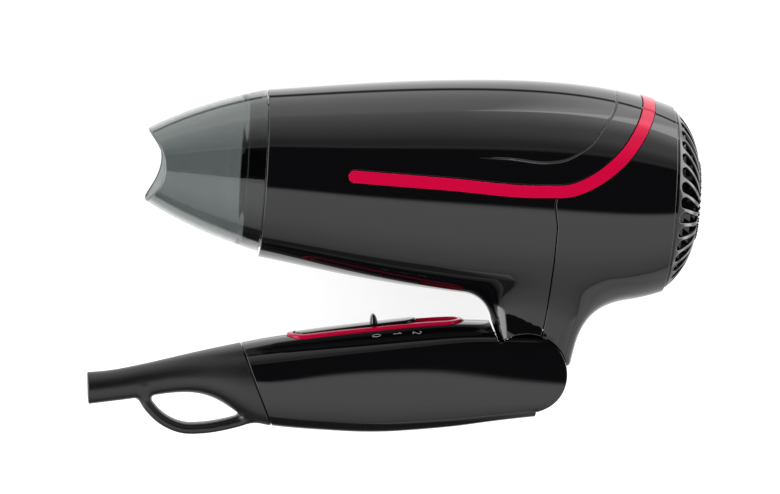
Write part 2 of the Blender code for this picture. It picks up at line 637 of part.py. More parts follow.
def add_heater(frame, mica, wire, steel, white, guide):
    """Crossed mica boards with the heating coil round them, inside a mica sleeve."""
    middle = (HEATER_START + HEATER_END) / 2
    half = MICA_HALF
    reach = HEATER_RADIUS
    y = AIR_AXIS_Y
    length = (HEATER_START, HEATER_END)
    upright = make_object("mica_board_upright", box(length, (y - reach, y + reach), (-half, half)), frame,
                          mica)
    flat = make_object("mica_board_flat", box(length, (y - half, y + half), (-reach, reach)), frame, mica)
    slot_a = make_cutter("board_slot_front", box((HEATER_START - 1.0, middle + HALF_GAP),
                                                 (y - half - GAP, y + half + GAP), (-2.0, 2.0)), frame, guide)
    slot_b = make_cutter("board_slot_rear", box((middle - HALF_GAP, HEATER_END + 1.0), (y - 2.0, y + 2.0),
                                                (-half - GAP, half + GAP)), frame, guide)
    boolean(upright, "DIFFERENCE", slot_a)
    boolean(flat, "DIFFERENCE", slot_b)
    coil = []
    radius = reach + 1.0
    for k in range(4 * COIL_TURNS + 1):
        angle = math.pi / 2 * k
        x = HEATER_START + 4.0 + (HEATER_END - HEATER_START - 8.0) * k / (4 * COIL_TURNS)
        coil.append((x, y + radius * math.cos(angle), radius * math.sin(angle)))
    rounded = []
    for k in range(len(coil) - 1):
        first = Vector(coil[k])
        second = Vector(coil[k + 1])
        rounded.append(first.lerp(second, 0.03))
        rounded.append(first.lerp(second, 0.97))
    make_object("heating_coil", sweep(rounded, COIL_WIRE, COIL_WIRE, 4), frame, wire)
    sleeve = [(7.0, SLEEVE_RADIUS), (64.0, SLEEVE_RADIUS), (64.0, SLEEVE_RADIUS - 0.6),
              (7.0, SLEEVE_RADIUS - 0.6)]
    make_object("mica_sleeve", turned(sleeve, 28, "X", (0.0, y, 0.0), ring=True), frame, mica)
    make_object("thermostat", box((48.0, 58.0), (y + 6.0, y + 12.0), (half + GAP, half + GAP + 2.6)),
                frame, steel)
    make_object("thermal_fuse", turned([(30.0, 1.6), (40.0, 1.6)], 14, "X",
                                       (0.0, y + 10.0, half + GAP + 1.6)), frame, white)


def add_outlet_grid(frame, plastic, guide):
    """Guard inside the outlet: two rings on spokes."""
    x_low, x_high = GRID_ENDS
    outer = OUTLET_RADIUS - GAP
    rim = [(x_low, outer), (x_high, outer), (x_high, outer - 1.6), (x_low, outer - 1.6)]
    grid = make_object("outlet_grid", turned(rim, 24, "X", ring=True), frame, plastic)
    for k, (radius, segments) in enumerate(GRID_RINGS):
        ring = [(x_low, radius), (x_high, radius), (x_high, radius - 1.3), (x_low, radius - 1.3)]
        boolean(grid, "UNION", make_cutter(f"grid_ring_{k + 1}", turned(ring, segments, "X", ring=True),
                                           frame, guide))
    for k in range(GRID_SPOKES):
        shape = box((x_low + 0.2, x_high - 0.2), (-outer + 0.8, outer - 0.8), (-0.6, 0.6))
        bmesh.ops.rotate(shape, matrix=Matrix.Rotation(math.pi * k / GRID_SPOKES, 3, "X"), verts=shape.verts)
        boolean(grid, "UNION", make_cutter(f"grid_spoke_{k + 1}", shape, frame, guide))


# ---------------------------------------------------------------- hinge

def add_knuckle(frame, plastic, guide):
    """Hinge lug that hangs from the neck into the slot of the handle's head."""
    hub = turned([(-LUG_HALF_WIDTH, LUG_RADIUS), (LUG_HALF_WIDTH, LUG_RADIUS)], 40, "Z",
                 (HINGE_X, HINGE_Y, 0.0))
    knuckle = make_object("hinge_knuckle", hub, frame, plastic)
    stem = make_cutter("knuckle_stem", box(STEM_X, (HINGE_Y, -49.5), (-LUG_HALF_WIDTH, LUG_HALF_WIDTH)),
                       frame, guide)
    flange = make_cutter("knuckle_flange", box((98.4, 111.0), (-51.2, -49.2), (-10.0, 10.0)), frame, guide)
    bore = make_cutter("knuckle_bore", turned([(-20.0, PIN_RADIUS + GAP), (20.0, PIN_RADIUS + GAP)], 24, "Z",
                                              (HINGE_X, HINGE_Y, 0.0)), frame, guide)
    way = make_cutter("wire_way", box((103.0, 107.6), (-61.0, -40.0), (-4.9, 4.9)), frame, guide)
    boolean(knuckle, "UNION", stem)
    boolean(knuckle, "UNION", flange)
    boolean(knuckle, "DIFFERENCE", bore)
    boolean(knuckle, "DIFFERENCE", way)


def add_pin(pivot, steel):
    """Hinge pin through the lug, and the wave washers that give the hinge its friction."""
    rod = [(-PIN_HALF_LENGTH, PIN_RADIUS), (PIN_HALF_LENGTH, PIN_RADIUS)]
    make_object("hinge_pin", turned(rod, 24, "Z"), pivot, steel)
    for name, side in (("friction_washer_near", 1), ("friction_washer_far", -1)):
        low = side * (LUG_HALF_WIDTH + GAP)
        high = low + side * WASHER_THICKNESS
        bore = PIN_RADIUS + GAP
        ring = [(low, WASHER_RADIUS), (high, WASHER_RADIUS), (high, bore), (low, bore)]
        make_object(name, turned(ring, 24, "Z", ring=True), pivot, steel)


# ---------------------------------------------------------------- handle

def grip_ring(x, inset, count):
    """Cross-section of the handle and boot, moved in by an inset."""
    return oval_ring(x, smooth(GRIP_TOP, x) - inset, smooth(GRIP_BOTTOM, x) - inset,
                     smooth(GRIP_WIDTH, x) - inset, count, smooth(GRIP_POWER, x))


def boot_side(shift):
    """Everything on the cord's side of the slanted seam between handle and boot."""
    top = (BOOT_SEAM_TOP[0] + shift, BOOT_SEAM_TOP[1])
    bottom = (BOOT_SEAM_BOTTOM[0] + shift, BOOT_SEAM_BOTTOM[1])
    lean = (bottom[0] - top[0]) / (top[1] - bottom[1])
    high = (top[0] - 20.0 * lean, top[1] + 20.0)
    low = (bottom[0] + 20.0 * lean, bottom[1] - 20.0)
    return prism([high, low, (-220.0, low[1]), (-220.0, high[1])], -40.0, 40.0)


def handle_cutters(pivot, deck, guide):
    """Shapes shared by the two handle shells."""
    tools = {}
    tools["head"] = make_cutter("head_cut", beyond_head(), pivot, guide)
    rings = [grip_ring(x, GRIP_WALL, 24) for x in (-112.0, -100.0, -85.0, -57.0, -35.0, -18.5)]
    rings.append(grip_ring(-8.0, 10.5, 24))
    tools["hollow"] = make_cutter("grip_hollow", loft(rings), pivot, guide)
    room = [(-12.8, 11.4), (-11.2, 13.6), (11.2, 13.6), (12.8, 11.4)]
    tools["head_hollow"] = make_cutter("head_hollow", turned(room, 28, "Z"), pivot, guide)
    tools["boot"] = make_cutter("boot_side_shell", boot_side(HALF_GAP), pivot, guide)
    arc = []
    for k in range(13):
        angle = SLOT_FROM + (SLOT_TO - SLOT_FROM) * k / 12
        arc.append((20.0 * math.cos(angle), 20.0 * math.sin(angle)))
    tools["slot"] = make_cutter("lug_slot", prism(arc + [(0.0, 0.0)], -LUG_HALF_WIDTH - 0.5,
                                                  LUG_HALF_WIDTH + 0.5), pivot, guide)
    opening = stadium(TRIM_BACK - GAP, TRIM_FRONT + GAP, TRIM_HALF_WIDTH + GAP)
    tools["deck"] = make_cutter("deck_opening", upright_prism(opening, -6.0, 20.0), deck, guide)
    return tools


def beyond_head():
    """Side outline of what lies beyond the handle: above its shoulder, round its head, past its lip."""
    outline = [(SHOULDER[0][0], 30.0), *SHOULDER]
    start = math.atan2(HEAD_STARTS[1], HEAD_STARTS[0])
    finish = math.atan2(LIP_Y, LIP_X)
    for k in range(21):
        angle = start + (finish - start) * k / 20
        outline.append((HEAD_RADIUS * math.cos(angle), HEAD_RADIUS * math.sin(angle)))
    outline += [(LIP_X, -30.0), (40.0, -30.0), (40.0, 30.0)]
    return prism(outline, -40.0, 40.0)


def add_handle_shells(pivot, deck, gloss, guide):
    """Two handle halves that meet on the middle plane, with bosses for pin and screws."""
    tools = handle_cutters(pivot, deck, guide)
    stations = (-112.0, -104.0, -98.0, -91.0, -80.0, -62.0, -44.0, -28.0, -14.0, 1.0, 17.0)
    for name, side in (("handle_shell_near", 1), ("handle_shell_far", -1)):
        shell = make_object(name, loft([grip_ring(x, 0.0, 28) for x in stations]), pivot, gloss)
        for cut in ("head", "hollow", "head_hollow", "slot", "deck", "boot"):
            boolean(shell, "DIFFERENCE", tools[cut])
        half = (HALF_GAP, 40.0) if side > 0 else (-40.0, -HALF_GAP)
        keep = make_cutter(f"keep_{name}", box((-200.0, 60.0), (-60.0, 60.0), half), pivot, guide)
        boolean(shell, "INTERSECT", keep)
        face = LUG_HALF_WIDTH + 2 * GAP + WASHER_THICKNESS
        boss = make_cutter(f"pin_boss_{name}", turned([(side * face, PIN_BOSS_RADIUS),
                                                       (side * 14.0, PIN_BOSS_RADIUS)], 16, "Z"),
                           pivot, guide)
        deep = PIN_HALF_LENGTH + 0.4
        pin_hole = make_cutter(f"pin_hole_{name}", turned([(side * 1.0, PIN_RADIUS + GAP),
                                                           (side * deep, PIN_RADIUS + GAP)], 16, "Z"),
                               pivot, guide)
        boolean(shell, "UNION", boss)
        boolean(shell, "DIFFERENCE", pin_hole)
        for k, (x, y) in enumerate(HANDLE_SCREWS):
            add_screw_boss(shell, pivot, guide, side, k, x, y)


def add_screw_boss(shell, pivot, guide, side, number, x, y):
    """Boss on one handle shell for one screw; the far shell takes the screw's head."""
    label = f"{shell.name}_{number + 1}"
    post = [(side * HALF_GAP, SCREW_POST_RADIUS), (side * SCREW_POST_END, SCREW_POST_RADIUS)]
    boolean(shell, "UNION", make_cutter(f"screw_post_{label}", turned(post, 12, "Z", (x, y, 0.0)), pivot,
                                        guide))
    shank = SCREW_SHANK + GAP
    steps = [(-1.0, shank), (SCREW_SEAT + GAP, shank)]
    if side < 0:
        seat = -SCREW_SEAT + GAP
        steps = [(1.0, shank), (seat, shank), (seat, SCREW_HEAD + GAP), (-30.0, SCREW_HEAD + GAP)]
    hole = turned(steps, 12, "Z", (x, y, 0.0))
    boolean(shell, "DIFFERENCE", make_cutter(f"screw_hole_{label}", hole, pivot, guide))


def screw_profile(head_top, head_seat, tip):
    """Pan-head screw, from the top of its head to its tip."""
    side = 1.0 if tip > head_seat else -1.0
    return [(head_top, SCREW_HEAD - 0.5), (head_top + side * 0.5, SCREW_HEAD), (head_seat, SCREW_HEAD),
            (head_seat, SCREW_SHANK), (tip - side * 0.7, SCREW_SHANK), (tip, SCREW_SHANK - 0.6)]


def add_screws(frame, pivot, steel, guide):
    """Cross-head screws: three join the handle shells, one joins the casings in the neck."""
    cross_arms = ((1.6, 0.3), (0.3, 1.6))
    head_top = -SCREW_SEAT - SCREW_HEAD_HEIGHT
    for k, (x, y) in enumerate(HANDLE_SCREWS):
        profile = screw_profile(head_top, -SCREW_SEAT, SCREW_SEAT)
        screw = make_object(f"handle_screw_{k + 1}", turned(profile, 12, "Z", (x, y, 0.0)), pivot, steel)
        for arm, (wide, tall) in enumerate(cross_arms):
            cross = box((x - wide, x + wide), (y - tall, y + tall), (-12.0, head_top + 0.8))
            boolean(screw, "DIFFERENCE", make_cutter(f"screw_drive_{k + 1}_{arm + 1}", cross, pivot, guide))
    y = NECK_SCREW_Y
    head_top = NECK_SCREW_SEAT_X + SCREW_HEAD_HEIGHT
    profile = screw_profile(head_top, NECK_SCREW_SEAT_X, NECK_SCREW_TIP_X)
    screw = make_object("neck_screw", turned(profile, 12, "X", (0.0, y, 0.0)), frame, steel)
    for arm, (wide, tall) in enumerate(cross_arms):
        cross = box((head_top - 0.8, 130.0), (y - wide, y + wide), (-tall, tall))
        boolean(screw, "DIFFERENCE", make_cutter(f"neck_screw_drive_{arm + 1}", cross, frame, guide))


def add_boot(pivot, rubber, guide):
    """Cord boot with its hang loop; a collar reaches inside the handle shells."""
    stations = (-168.2, -158.0, -149.0, -142.0, -135.0, -128.0, -121.0, -115.0, -110.0, -105.0, -100.0,
                -92.0)
    boot = make_object("cord_boot", loft([grip_ring(x, 0.0, 24) for x in stations]), pivot, rubber)
    side = make_cutter("boot_side_boot", boot_side(-HALF_GAP), pivot, guide)
    collar_at = (-112.0, -104.0, -97.0, -92.0)
    collar = make_cutter("boot_collar", loft([grip_ring(x, GRIP_WALL + GAP, 20) for x in collar_at]),
                         pivot, guide)
    loop = make_cutter("loop_form", sweep(smooth_line([(*p, 0.0) for p in LOOP_PATH], 16),
                                          LOOP_THICKNESS / 2, LOOP_WIDTH / 2, 8), pivot, guide)
    hole = make_cutter("cord_hole", turned([(-180.0, CORD_HOLE_RADIUS), (-80.0, CORD_HOLE_RADIUS)], 16, "X"),
                       pivot, guide)
    boolean(boot, "INTERSECT", side)
    boolean(boot, "UNION", collar)
    boolean(boot, "UNION", loop)
    boolean(boot, "DIFFERENCE", hole)


# ---------------------------------------------------------------- switch

def add_switch(deck, pivot, red, gloss, plastic, guide):
    """Red trim dish, the sliding button with its fin, and the switch block below."""
    outline = stadium(TRIM_BACK, TRIM_FRONT, TRIM_HALF_WIDTH)
    trim = make_object("switch_trim", upright_prism(outline, -TRIM_FLOOR, 12.0), deck, red)
    skin_at = (-104.0, -91.0, -80.0, -66.0, -50.0, -36.0, -24.0, -14.0, -6.0)
    skin = make_cutter("trim_skin", loft([grip_ring(x, -TRIM_PROUD, 36) for x in skin_at]), pivot, guide)
    recess = stadium(TRIM_BACK + TRIM_BAND, TRIM_FRONT - TRIM_BAND, TRIM_HALF_WIDTH - TRIM_BAND)
    well = make_cutter("trim_recess", upright_prism(recess, 0.0, 20.0), deck, guide)
    across = (-PEG_HALF_WIDTH - 0.4, PEG_HALF_WIDTH + 0.4)
    slot = make_cutter("peg_slot", box((-PEG_SLOT_END, PEG_SLOT_END), (-8.0, 4.0), across), deck, guide)
    boolean(trim, "INTERSECT", skin)
    boolean(trim, "DIFFERENCE", well)
    boolean(trim, "DIFFERENCE", slot)

    plate = stadium(SLIDER_BACK, SLIDER_FRONT, TRIM_HALF_WIDTH - TRIM_BAND - GAP)
    slider = make_object("switch_slider", upright_prism(plate, GAP, 9.0), deck, gloss)
    dome = make_cutter("slider_skin", loft([grip_ring(x, -SLIDER_PROUD, 36) for x in skin_at]), pivot, guide)
    fin = make_cutter("slider_fin", prism(FIN_SIDE, -FIN_HALF_WIDTH, FIN_HALF_WIDTH), deck, guide)
    peg = make_cutter("slider_peg", box((PEG_FROM, PEG_TO), (-4.6, 1.0), (-PEG_HALF_WIDTH, PEG_HALF_WIDTH)),
                      deck, guide)
    boolean(slider, "INTERSECT", dome)
    boolean(slider, "UNION", fin)
    boolean(slider, "UNION", peg)

    block = make_object("switch_block", box((-17.0, 17.0), (-10.5, -1.6), (-5.5, 5.5)), deck, plastic)
    groove = make_cutter("block_groove", box((-PEG_SLOT_END, PEG_SLOT_END), (-5.2, 1.0), across), deck, guide)
    boolean(block, "DIFFERENCE", groove)


# ---------------------------------------------------------------- wiring

def add_lead(name, points, parent, surface, steps=12):
    make_object(name, sweep(smooth_line(points, steps), LEAD_RADIUS, LEAD_RADIUS, 6), parent, surface)


def add_wiring(frame, pivot, plastic, white, brown, blue, guide):
    """Terminal block, capacitor and the insulated leads."""
    block = make_object("terminal_block", box((-84.0, -74.0), (-4.0, 3.0), (-6.5, 6.5)), pivot, white)
    for k, z in enumerate((-3.2, 3.2)):
        hole = turned([(-88.0, 1.5), (-70.0, 1.5)], 10, "X", (0.0, 0.0, z))
        boolean(block, "DIFFERENCE", make_cutter(f"terminal_hole_{k + 1}", hole, pivot, guide))
    make_object("suppression_capacitor", box((-46.0, -34.0), (-12.0, -4.0), (-3.0, 3.0)), pivot, plastic)
    add_lead("lead_supply", [(-82.0, 0.0, 3.2), (-73.0, 0.0, 3.2), (-68.0, 2.2, 3.0), (-62.0, 3.6, 2.6),
                             (-52.0, 4.2, 2.6)], pivot, brown)
    add_lead("lead_live", [(-50.0, 3.8, 2.2), (-40.0, 1.0, 6.0), (-28.0, 0.0, 7.4), (-18.0, 1.0, 9.2),
                           (-9.0, 4.0, 9.6)], pivot, brown)
    add_lead("lead_neutral", [(-82.0, 0.0, -3.2), (-73.0, 0.0, -3.2), (-56.0, -1.0, -6.5),
                              (-40.0, -0.5, -8.0), (-22.0, 0.5, -9.2), (-9.0, 4.0, -9.6)], pivot, blue)
    add_lead("heater_lead_live", [(105.3, -52.0, 2.6), (105.2, -49.0, 3.2), (104.0, -45.6, 6.0),
                                  (100.0, -38.0, 7.2), (86.0, -24.0, 6.4), (70.0, -16.0, 3.0),
                                  (63.0, -14.0, 1.8)], frame, brown, 14)
    add_lead("heater_lead_neutral", [(105.3, -52.0, -2.6), (105.2, -49.0, -3.2), (104.0, -45.6, -6.0),
                                     (100.0, -38.0, -7.2), (86.0, -24.0, -6.4), (70.0, -16.0, -3.0),
                                     (63.0, -14.0, -1.8)], frame, blue, 14)
    add_lead("motor_lead_positive", [(63.0, 6.0, 2.0), (72.0, 6.4, 3.4), (84.6, 4.2, 5.0)], frame,
             brown, 8)
    add_lead("motor_lead_negative", [(63.0, -8.0, -2.0), (72.0, -7.6, -3.4), (84.6, -5.8, -5.0)], frame,
             blue, 8)


def main():
    clear_scene()
    gloss = material("gloss_black", (0.012, 0.012, 0.014), 0.12)
    smoke = material("smoke_clear", (0.16, 0.18, 0.17), 0.08)
    red = material("raspberry_metallic", (0.62, 0.0, 0.08), 0.22, 0.6)
    rubber = material("matte_black", (0.02, 0.02, 0.022), 0.6)
    dark = material("dark_plastic", (0.03, 0.03, 0.035), 0.45)
    steel = material("steel", (0.55, 0.55, 0.57), 0.3, 1.0)
    mica = material("mica", (0.62, 0.55, 0.42), 0.5)
    wire = material("nichrome", (0.45, 0.42, 0.4), 0.35, 1.0)
    board = material("circuit_board", (0.05, 0.2, 0.08), 0.5)
    white = material("white_ceramic", (0.8, 0.8, 0.78), 0.4)
    insulation_brown = material("insulation_brown", (0.25, 0.09, 0.04), 0.5)
    insulation_blue = material("insulation_blue", (0.03, 0.12, 0.45), 0.5)
    guide = material("guide", (0.5, 0.5, 0.5), 0.5)

    frame = empty("barrel_frame", SEAM_X, SEAM_Y, MID_PLANE)
    pivot = empty("handle_pivot", HINGE_X, HINGE_Y, 0.0, FOLDED_ANGLE, frame)
    deck = empty("switch_deck", DECK_X, DECK_Y, 0.0, DECK_TILT, pivot)

    add_casings(frame, gloss, guide)
    add_ribbon(frame, red, guide)
    add_grille(frame, gloss)
    add_nozzle(frame, smoke, guide)
    add_fan_duct(frame, dark, guide)
    add_motor(frame, steel, board)
    add_fan(frame, dark, steel, guide)
    add_heater(frame, mica, wire, steel, white, guide)
    add_outlet_grid(frame, dark, guide)
    add_knuckle(frame, dark, guide)
    add_pin(pivot, steel)
    add_handle_shells(pivot, deck, gloss, guide)
    add_screws(frame, pivot, steel, guide)
    add_boot(pivot, rubber, guide)
    add_switch(deck, pivot, red, gloss, dark, guide)
    add_wiring(frame, pivot, dark, white, insulation_brown, insulation_blue, guide)


main()
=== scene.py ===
"""Travel hair dryer with a folding handle: the finished pieces over the working frame.

The dryer lies on its side.  Shapes are drawn in millimetres, either in the barrel's own
axes (origin at the nozzle seam, +X to the air intake, +Y to the top, +Z out of the near
side) or in the handle's own axes (origin on the hinge, -X towards the cord).
"""

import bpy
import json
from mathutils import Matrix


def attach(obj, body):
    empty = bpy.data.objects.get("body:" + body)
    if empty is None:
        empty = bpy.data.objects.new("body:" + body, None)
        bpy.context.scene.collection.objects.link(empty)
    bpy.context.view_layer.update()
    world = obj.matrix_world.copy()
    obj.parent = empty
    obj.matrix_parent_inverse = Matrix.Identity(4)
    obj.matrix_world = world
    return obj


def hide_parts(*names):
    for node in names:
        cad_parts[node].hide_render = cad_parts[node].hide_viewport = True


bl_info = {
    "name": "Travel hair dryer",
    "version": (1, 0, 0),
    "blender": (4, 5, 0),
    "location": "3D View > Sidebar > Hair dryer",
    "description": "Builds the outside of a folding travel hair dryer, its finishes and its stage",
    "category": "Object",
}

import json
import math

import bmesh
import bpy
import numpy as np
from bpy.props import FloatProperty, FloatVectorProperty, PointerProperty
from mathutils import Matrix, Vector

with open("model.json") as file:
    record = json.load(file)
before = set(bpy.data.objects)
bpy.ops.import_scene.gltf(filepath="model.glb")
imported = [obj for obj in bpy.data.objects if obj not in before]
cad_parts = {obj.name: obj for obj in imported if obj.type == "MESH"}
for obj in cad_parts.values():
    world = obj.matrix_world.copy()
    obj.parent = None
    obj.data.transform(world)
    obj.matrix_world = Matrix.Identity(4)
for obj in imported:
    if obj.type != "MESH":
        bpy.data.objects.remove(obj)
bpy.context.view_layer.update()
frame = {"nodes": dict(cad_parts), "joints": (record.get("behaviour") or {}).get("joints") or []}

MM = 0.001

# Where the two sets of axes sit in the frame.
HINGE = next(joint for joint in frame["joints"] if joint["name"] == "handle_fold")
SPIGOT_LENGTH = 7.0
FOLDED_ANGLE = math.radians(5.77)
HINGE_X = 105.6
HINGE_Y = -70.4


def hinge_point():
    """The hinge axis where it crosses the middle plane, in metres."""
    return Vector(HINGE["pos_m"])


def barrel_axes():
    """Barrel millimetres to frame metres."""
    place = hinge_point() - Vector((HINGE_X * MM, HINGE_Y * MM, 0.0))
    return Matrix.Translation(place) @ Matrix.Scale(MM, 4)


def handle_axes():
    """Handle millimetres to frame metres."""
    turn = Matrix.Rotation(FOLDED_ANGLE, 4, "Z")
    return Matrix.Translation(hinge_point()) @ turn @ Matrix.Scale(MM, 4)


# ---------------------------------------------------------------- outlines, in millimetres

BARREL_TOP = [(0, 32.0), (7, 32.9), (26, 35.3), (44, 37.5), (62, 39.2), (81, 40.7), (99, 41.3),
              (113, 41.4), (127, 40.7), (138, 39.3), (150, 36.8), (158, 34.4)]
BARREL_BOTTOM = [(0, 32.3), (12, 34.1), (30, 36.9), (49, 39.1), (68, 41.0), (85, 42.3),
                 (105, 43.0), (125, 42.6), (138, 41.6), (150, 39.2), (158, 35.9)]
BARREL_WIDTH = [(0, 32.2), (25, 35.2), (60, 37.9), (100, 38.5), (130, 38.0), (150, 36.3), (158, 34.9)]
BARREL_POWER = 2.1
BARREL_END = 156.7
SPIGOT_RADIUS = 29.0
SPIGOT_TIP_RADIUS = 27.7
OUTLET_RADIUS = 25.9

# Neck, by height: where its front and rear faces are, and its half width.
NECK_FRONT = [(-74, 104.0), (-66, 98.8), (-62, 96.6), (-58.5, 94.7), (-54, 92.4), (-50, 91.0), (-44, 89.9),
              (-36, 89.2), (-28, 89.0)]
NECK_REAR = [(-74, 122.0), (-66.5, 123.4), (-60.7, 124.4), (-55.6, 125.6), (-48, 127.2), (-40, 128.4),
             (-28, 129.5)]
NECK_WIDTH = [(-74, 16.9), (-60, 17.0), (-50, 17.4), (-40, 18.2), (-28, 19.6)]
NECK_POWER = 2.7
NECK_CORNER = [(-74, 8.0), (-60, 7.0), (-56, 5.2), (-51, 3.7), (-46, 2.9), (-40, 2.7), (-28, 2.7)]
FLARE_LINE = (93.4, -43.9)
FLARE_DROP = 0.44
FLARE = 0.27
FLARE_EASE = 1.2
FLARE_REACH = 9.0
REAR_LINE = (110.0, 1.5)
NECK_TOP_Y = -20.0
FILLET_FRONT = 10.0
FILLET_REAR = 15.0
FILLET_FROM_X = 90.0
FILLET_LENGTH = 35.0
SADDLE_RADIUS = 16.2
NECK_TIP_Y = -66.5

CASING_SEAM = [(109.5, -75.0), (110.7, -52.8), (111.3, -47.2), (111.6, -30.9), (111.6, -11.5),
               (111.7, 2.9), (116.1, 4.6), (125.8, 9.5), (131.4, 14.0), (137.8, 21.0), (141.3, 26.3),
               (143.9, 31.1), (145.8, 35.7), (146.8, 50.0)]
RIBBON_LINE = [(33.2, 4.7), (67.4, 4.2), (105.5, 3.5), (116.1, 4.6), (125.8, 9.5), (131.4, 14.0),
               (137.8, 21.0), (141.3, 26.3), (143.9, 31.1), (145.8, 35.7)]
RIBBON_TOP_X = 146.8
CREASE_LINE = [(78.3, 14.9), (91.6, 15.0), (107.3, 14.5), (112.8, 15.6), (118.5, 18.7), (123.0, 22.0),
               (126.9, 27.2), (130.2, 31.6), (132.5, 35.4)]
CREASE_TOP_X = 134.2
CREASE_DEPTH = 0.35
CREASE_HALF_WIDTH = 0.3
CREASE_FROM = (78.0, 7.0)
CREASE_FADE = 16.0
CREASE_REACHES = (2.6, 1.5, 0.9)

NOZZLE_HEIGHT = [(-45.7, 13.3), (-42.5, 15.0), (-33.2, 19.8), (-23.1, 24.1), (-13.8, 27.25), (-4.6, 30.0),
                 (-0.3, 31.1)]
NOZZLE_WIDTH = [(-45.7, 16.0), (-33.2, 21.2), (-23.1, 24.7), (-13.8, 27.4), (-4.6, 29.8), (-0.3, 30.7)]
NOZZLE_RISE = 0.85
SEAT_GAP = 0.15
NOZZLE_MOUTH = -45.7
NOZZLE_SEAM = -0.3
NOZZLE_WALL = 1.2
NOTCH_DEPTH = 7.4
NOTCH_REACH = 15.0

GRILLE_CENTRE_Y = -0.9
GRILLE_RADIUS = 34.8
GRILLE_POWER = 3.5
GRILLE_BASE_X = 157.0
GRILLE_DOME = 11.2
GRILLE_SLOTS = 34
SLOT_INNER = 14.0
SLOT_OUTER = 33.5
SLOT_SWIRL = math.radians(14)

GRIP_TOP = [(-168.2, 6.2), (-162.0, 6.3), (-149.0, 8.0), (-143.3, 9.0), (-125.5, 12.3), (-108.6, 15.0),
            (-99.9, 16.3), (-91.0, 17.3), (-75.0, 18.5), (-57.0, 19.5), (-40.0, 20.3), (-22.7, 20.2),
            (-14.0, 19.5), (3.3, 18.0), (17.0, 17.2)]
GRIP_BOTTOM = [(-168.2, 6.2), (-149.0, 4.6), (-135.0, 3.1), (-126.0, 3.5), (-117.4, 6.9), (-110.9, 12.0),
               (-104.0, 16.3), (-98.3, 17.5), (-87.2, 19.1), (-76.3, 20.3), (-67.4, 21.2), (-55.0, 21.8),
               (-41.1, 21.5), (-27.2, 20.7), (-13.3, 19.2), (3.3, 17.9), (17.0, 17.3)]
GRIP_WIDTH = [(-168.2, 6.2), (-149.0, 6.3), (-135.0, 7.8), (-125.0, 9.8), (-115.0, 12.6), (-106.0, 14.6),
              (-94.0, 15.8), (-80.0, 16.7), (-60.0, 17.4), (-40.0, 17.5), (-20.0, 17.1), (0.0, 16.6),
              (17.0, 16.0)]
GRIP_RIDGE = [(-168.2, 0.0), (-149.0, 1.7), (-135.0, 4.0), (-117.4, 3.0), (-98.0, 2.2), (-75.0, 5.2),
              (-55.0, 6.7), (-37.0, 7.0), (-20.0, 6.3), (-5.0, 4.2), (8.0, 1.8), (17.0, 0.6)]
GRIP_POWER = [(-168.2, 2.0), (-110.0, 2.2), (-60.0, 2.3), (-30.0, 2.6), (-12.0, 3.2), (17.0, 3.6)]
SHOULDER = [(-13.0, 22.0), (-12.1, 18.2), (-11.15, 15.6), (-10.2, 13.5)]
HEAD_STARTS = (-9.6, 12.55)
HEAD_RADIUS = 15.8
LIP_X = 3.3
LIP_Y = -15.4
BOOT_SEAM_TOP = (-108.6, 15.3)
BOOT_SEAM_BOTTOM = (-98.3, -17.1)
LOOP_PATH = [(-146.6, -1.0), (-146.4, -5.0), (-143.6, -9.6), (-138.8, -14.0), (-132.6, -16.8),
             (-125.0, -17.3), (-116.5, -16.4), (-108.5, -14.6), (-103.0, -12.6)]
LOOP_HALF_THICK = 2.2
LOOP_HALF_WIDE = 4.5
LOOP_POWER = 2.6
LOOP_FILLET = 3.0

DECK_X = -57.0
DECK_Y = 17.2
DECK_TILT = math.radians(2.5)
TRIM_BACK = -33.7
TRIM_FRONT = 34.5
TRIM_HALF_WIDTH = 7.6
SLIDER_BACK = -30.6
SLIDER_FRONT = 16.3
SLIDER_HALF_WIDTH = 5.1
TRIM_GAP = 0.3
DIGITS = (("0", -56.9, 11.3), ("1", -48.9, 11.5), ("2", -41.2, 11.9))


# ---------------------------------------------------------------- curves and fields

def hermite(points, at):
    """Smooth curve through an outline's points."""
    xs, ys = (np.array(column, float) for column in zip(*points))
    slopes = np.gradient(ys, xs)
    at = np.asarray(at, float)
    i = np.clip(np.searchsorted(xs, at) - 1, 0, len(xs) - 2)
    span = xs[i + 1] - xs[i]
    t = (at - xs[i]) / span
    inside = np.clip(t, 0.0, 1.0)
    left = 1 - inside
    value = ((1 + 2 * inside) * left ** 2 * ys[i] + inside * left ** 2 * span * slopes[i]
             + inside ** 2 * (3 - 2 * inside) * ys[i + 1] - inside ** 2 * left * span * slopes[i + 1])
    return value + (t - inside) * span * np.where(t > inside, slopes[i + 1], slopes[i])


def eased(points, ease=3.0, step=0.25):
    """Function of x that follows an outline with its small waves smoothed out over a length."""
    low = points[0][0] - 12.0
    high = points[-1][0] + 12.0
    xs = np.arange(low, high, step)
    ys = hermite(points, xs)
    reach = int(3 * ease / step)
    weights = np.exp(-0.5 * (np.arange(-reach, reach + 1) * step / ease) ** 2)
    padded = np.concatenate([2 * ys[0] - ys[reach:0:-1], ys, 2 * ys[-1] - ys[-2:-reach - 2:-1]])
    ys = np.convolve(padded, weights / weights.sum(), "valid")
    return lambda x: np.interp(x, xs, ys)


def fitted(points, degree=5):
    """Polynomial in x through an outline, as even as its degree lets it be."""
    xs, ys = zip(*points)
    return np.polynomial.Polynomial.fit(xs, ys, degree)


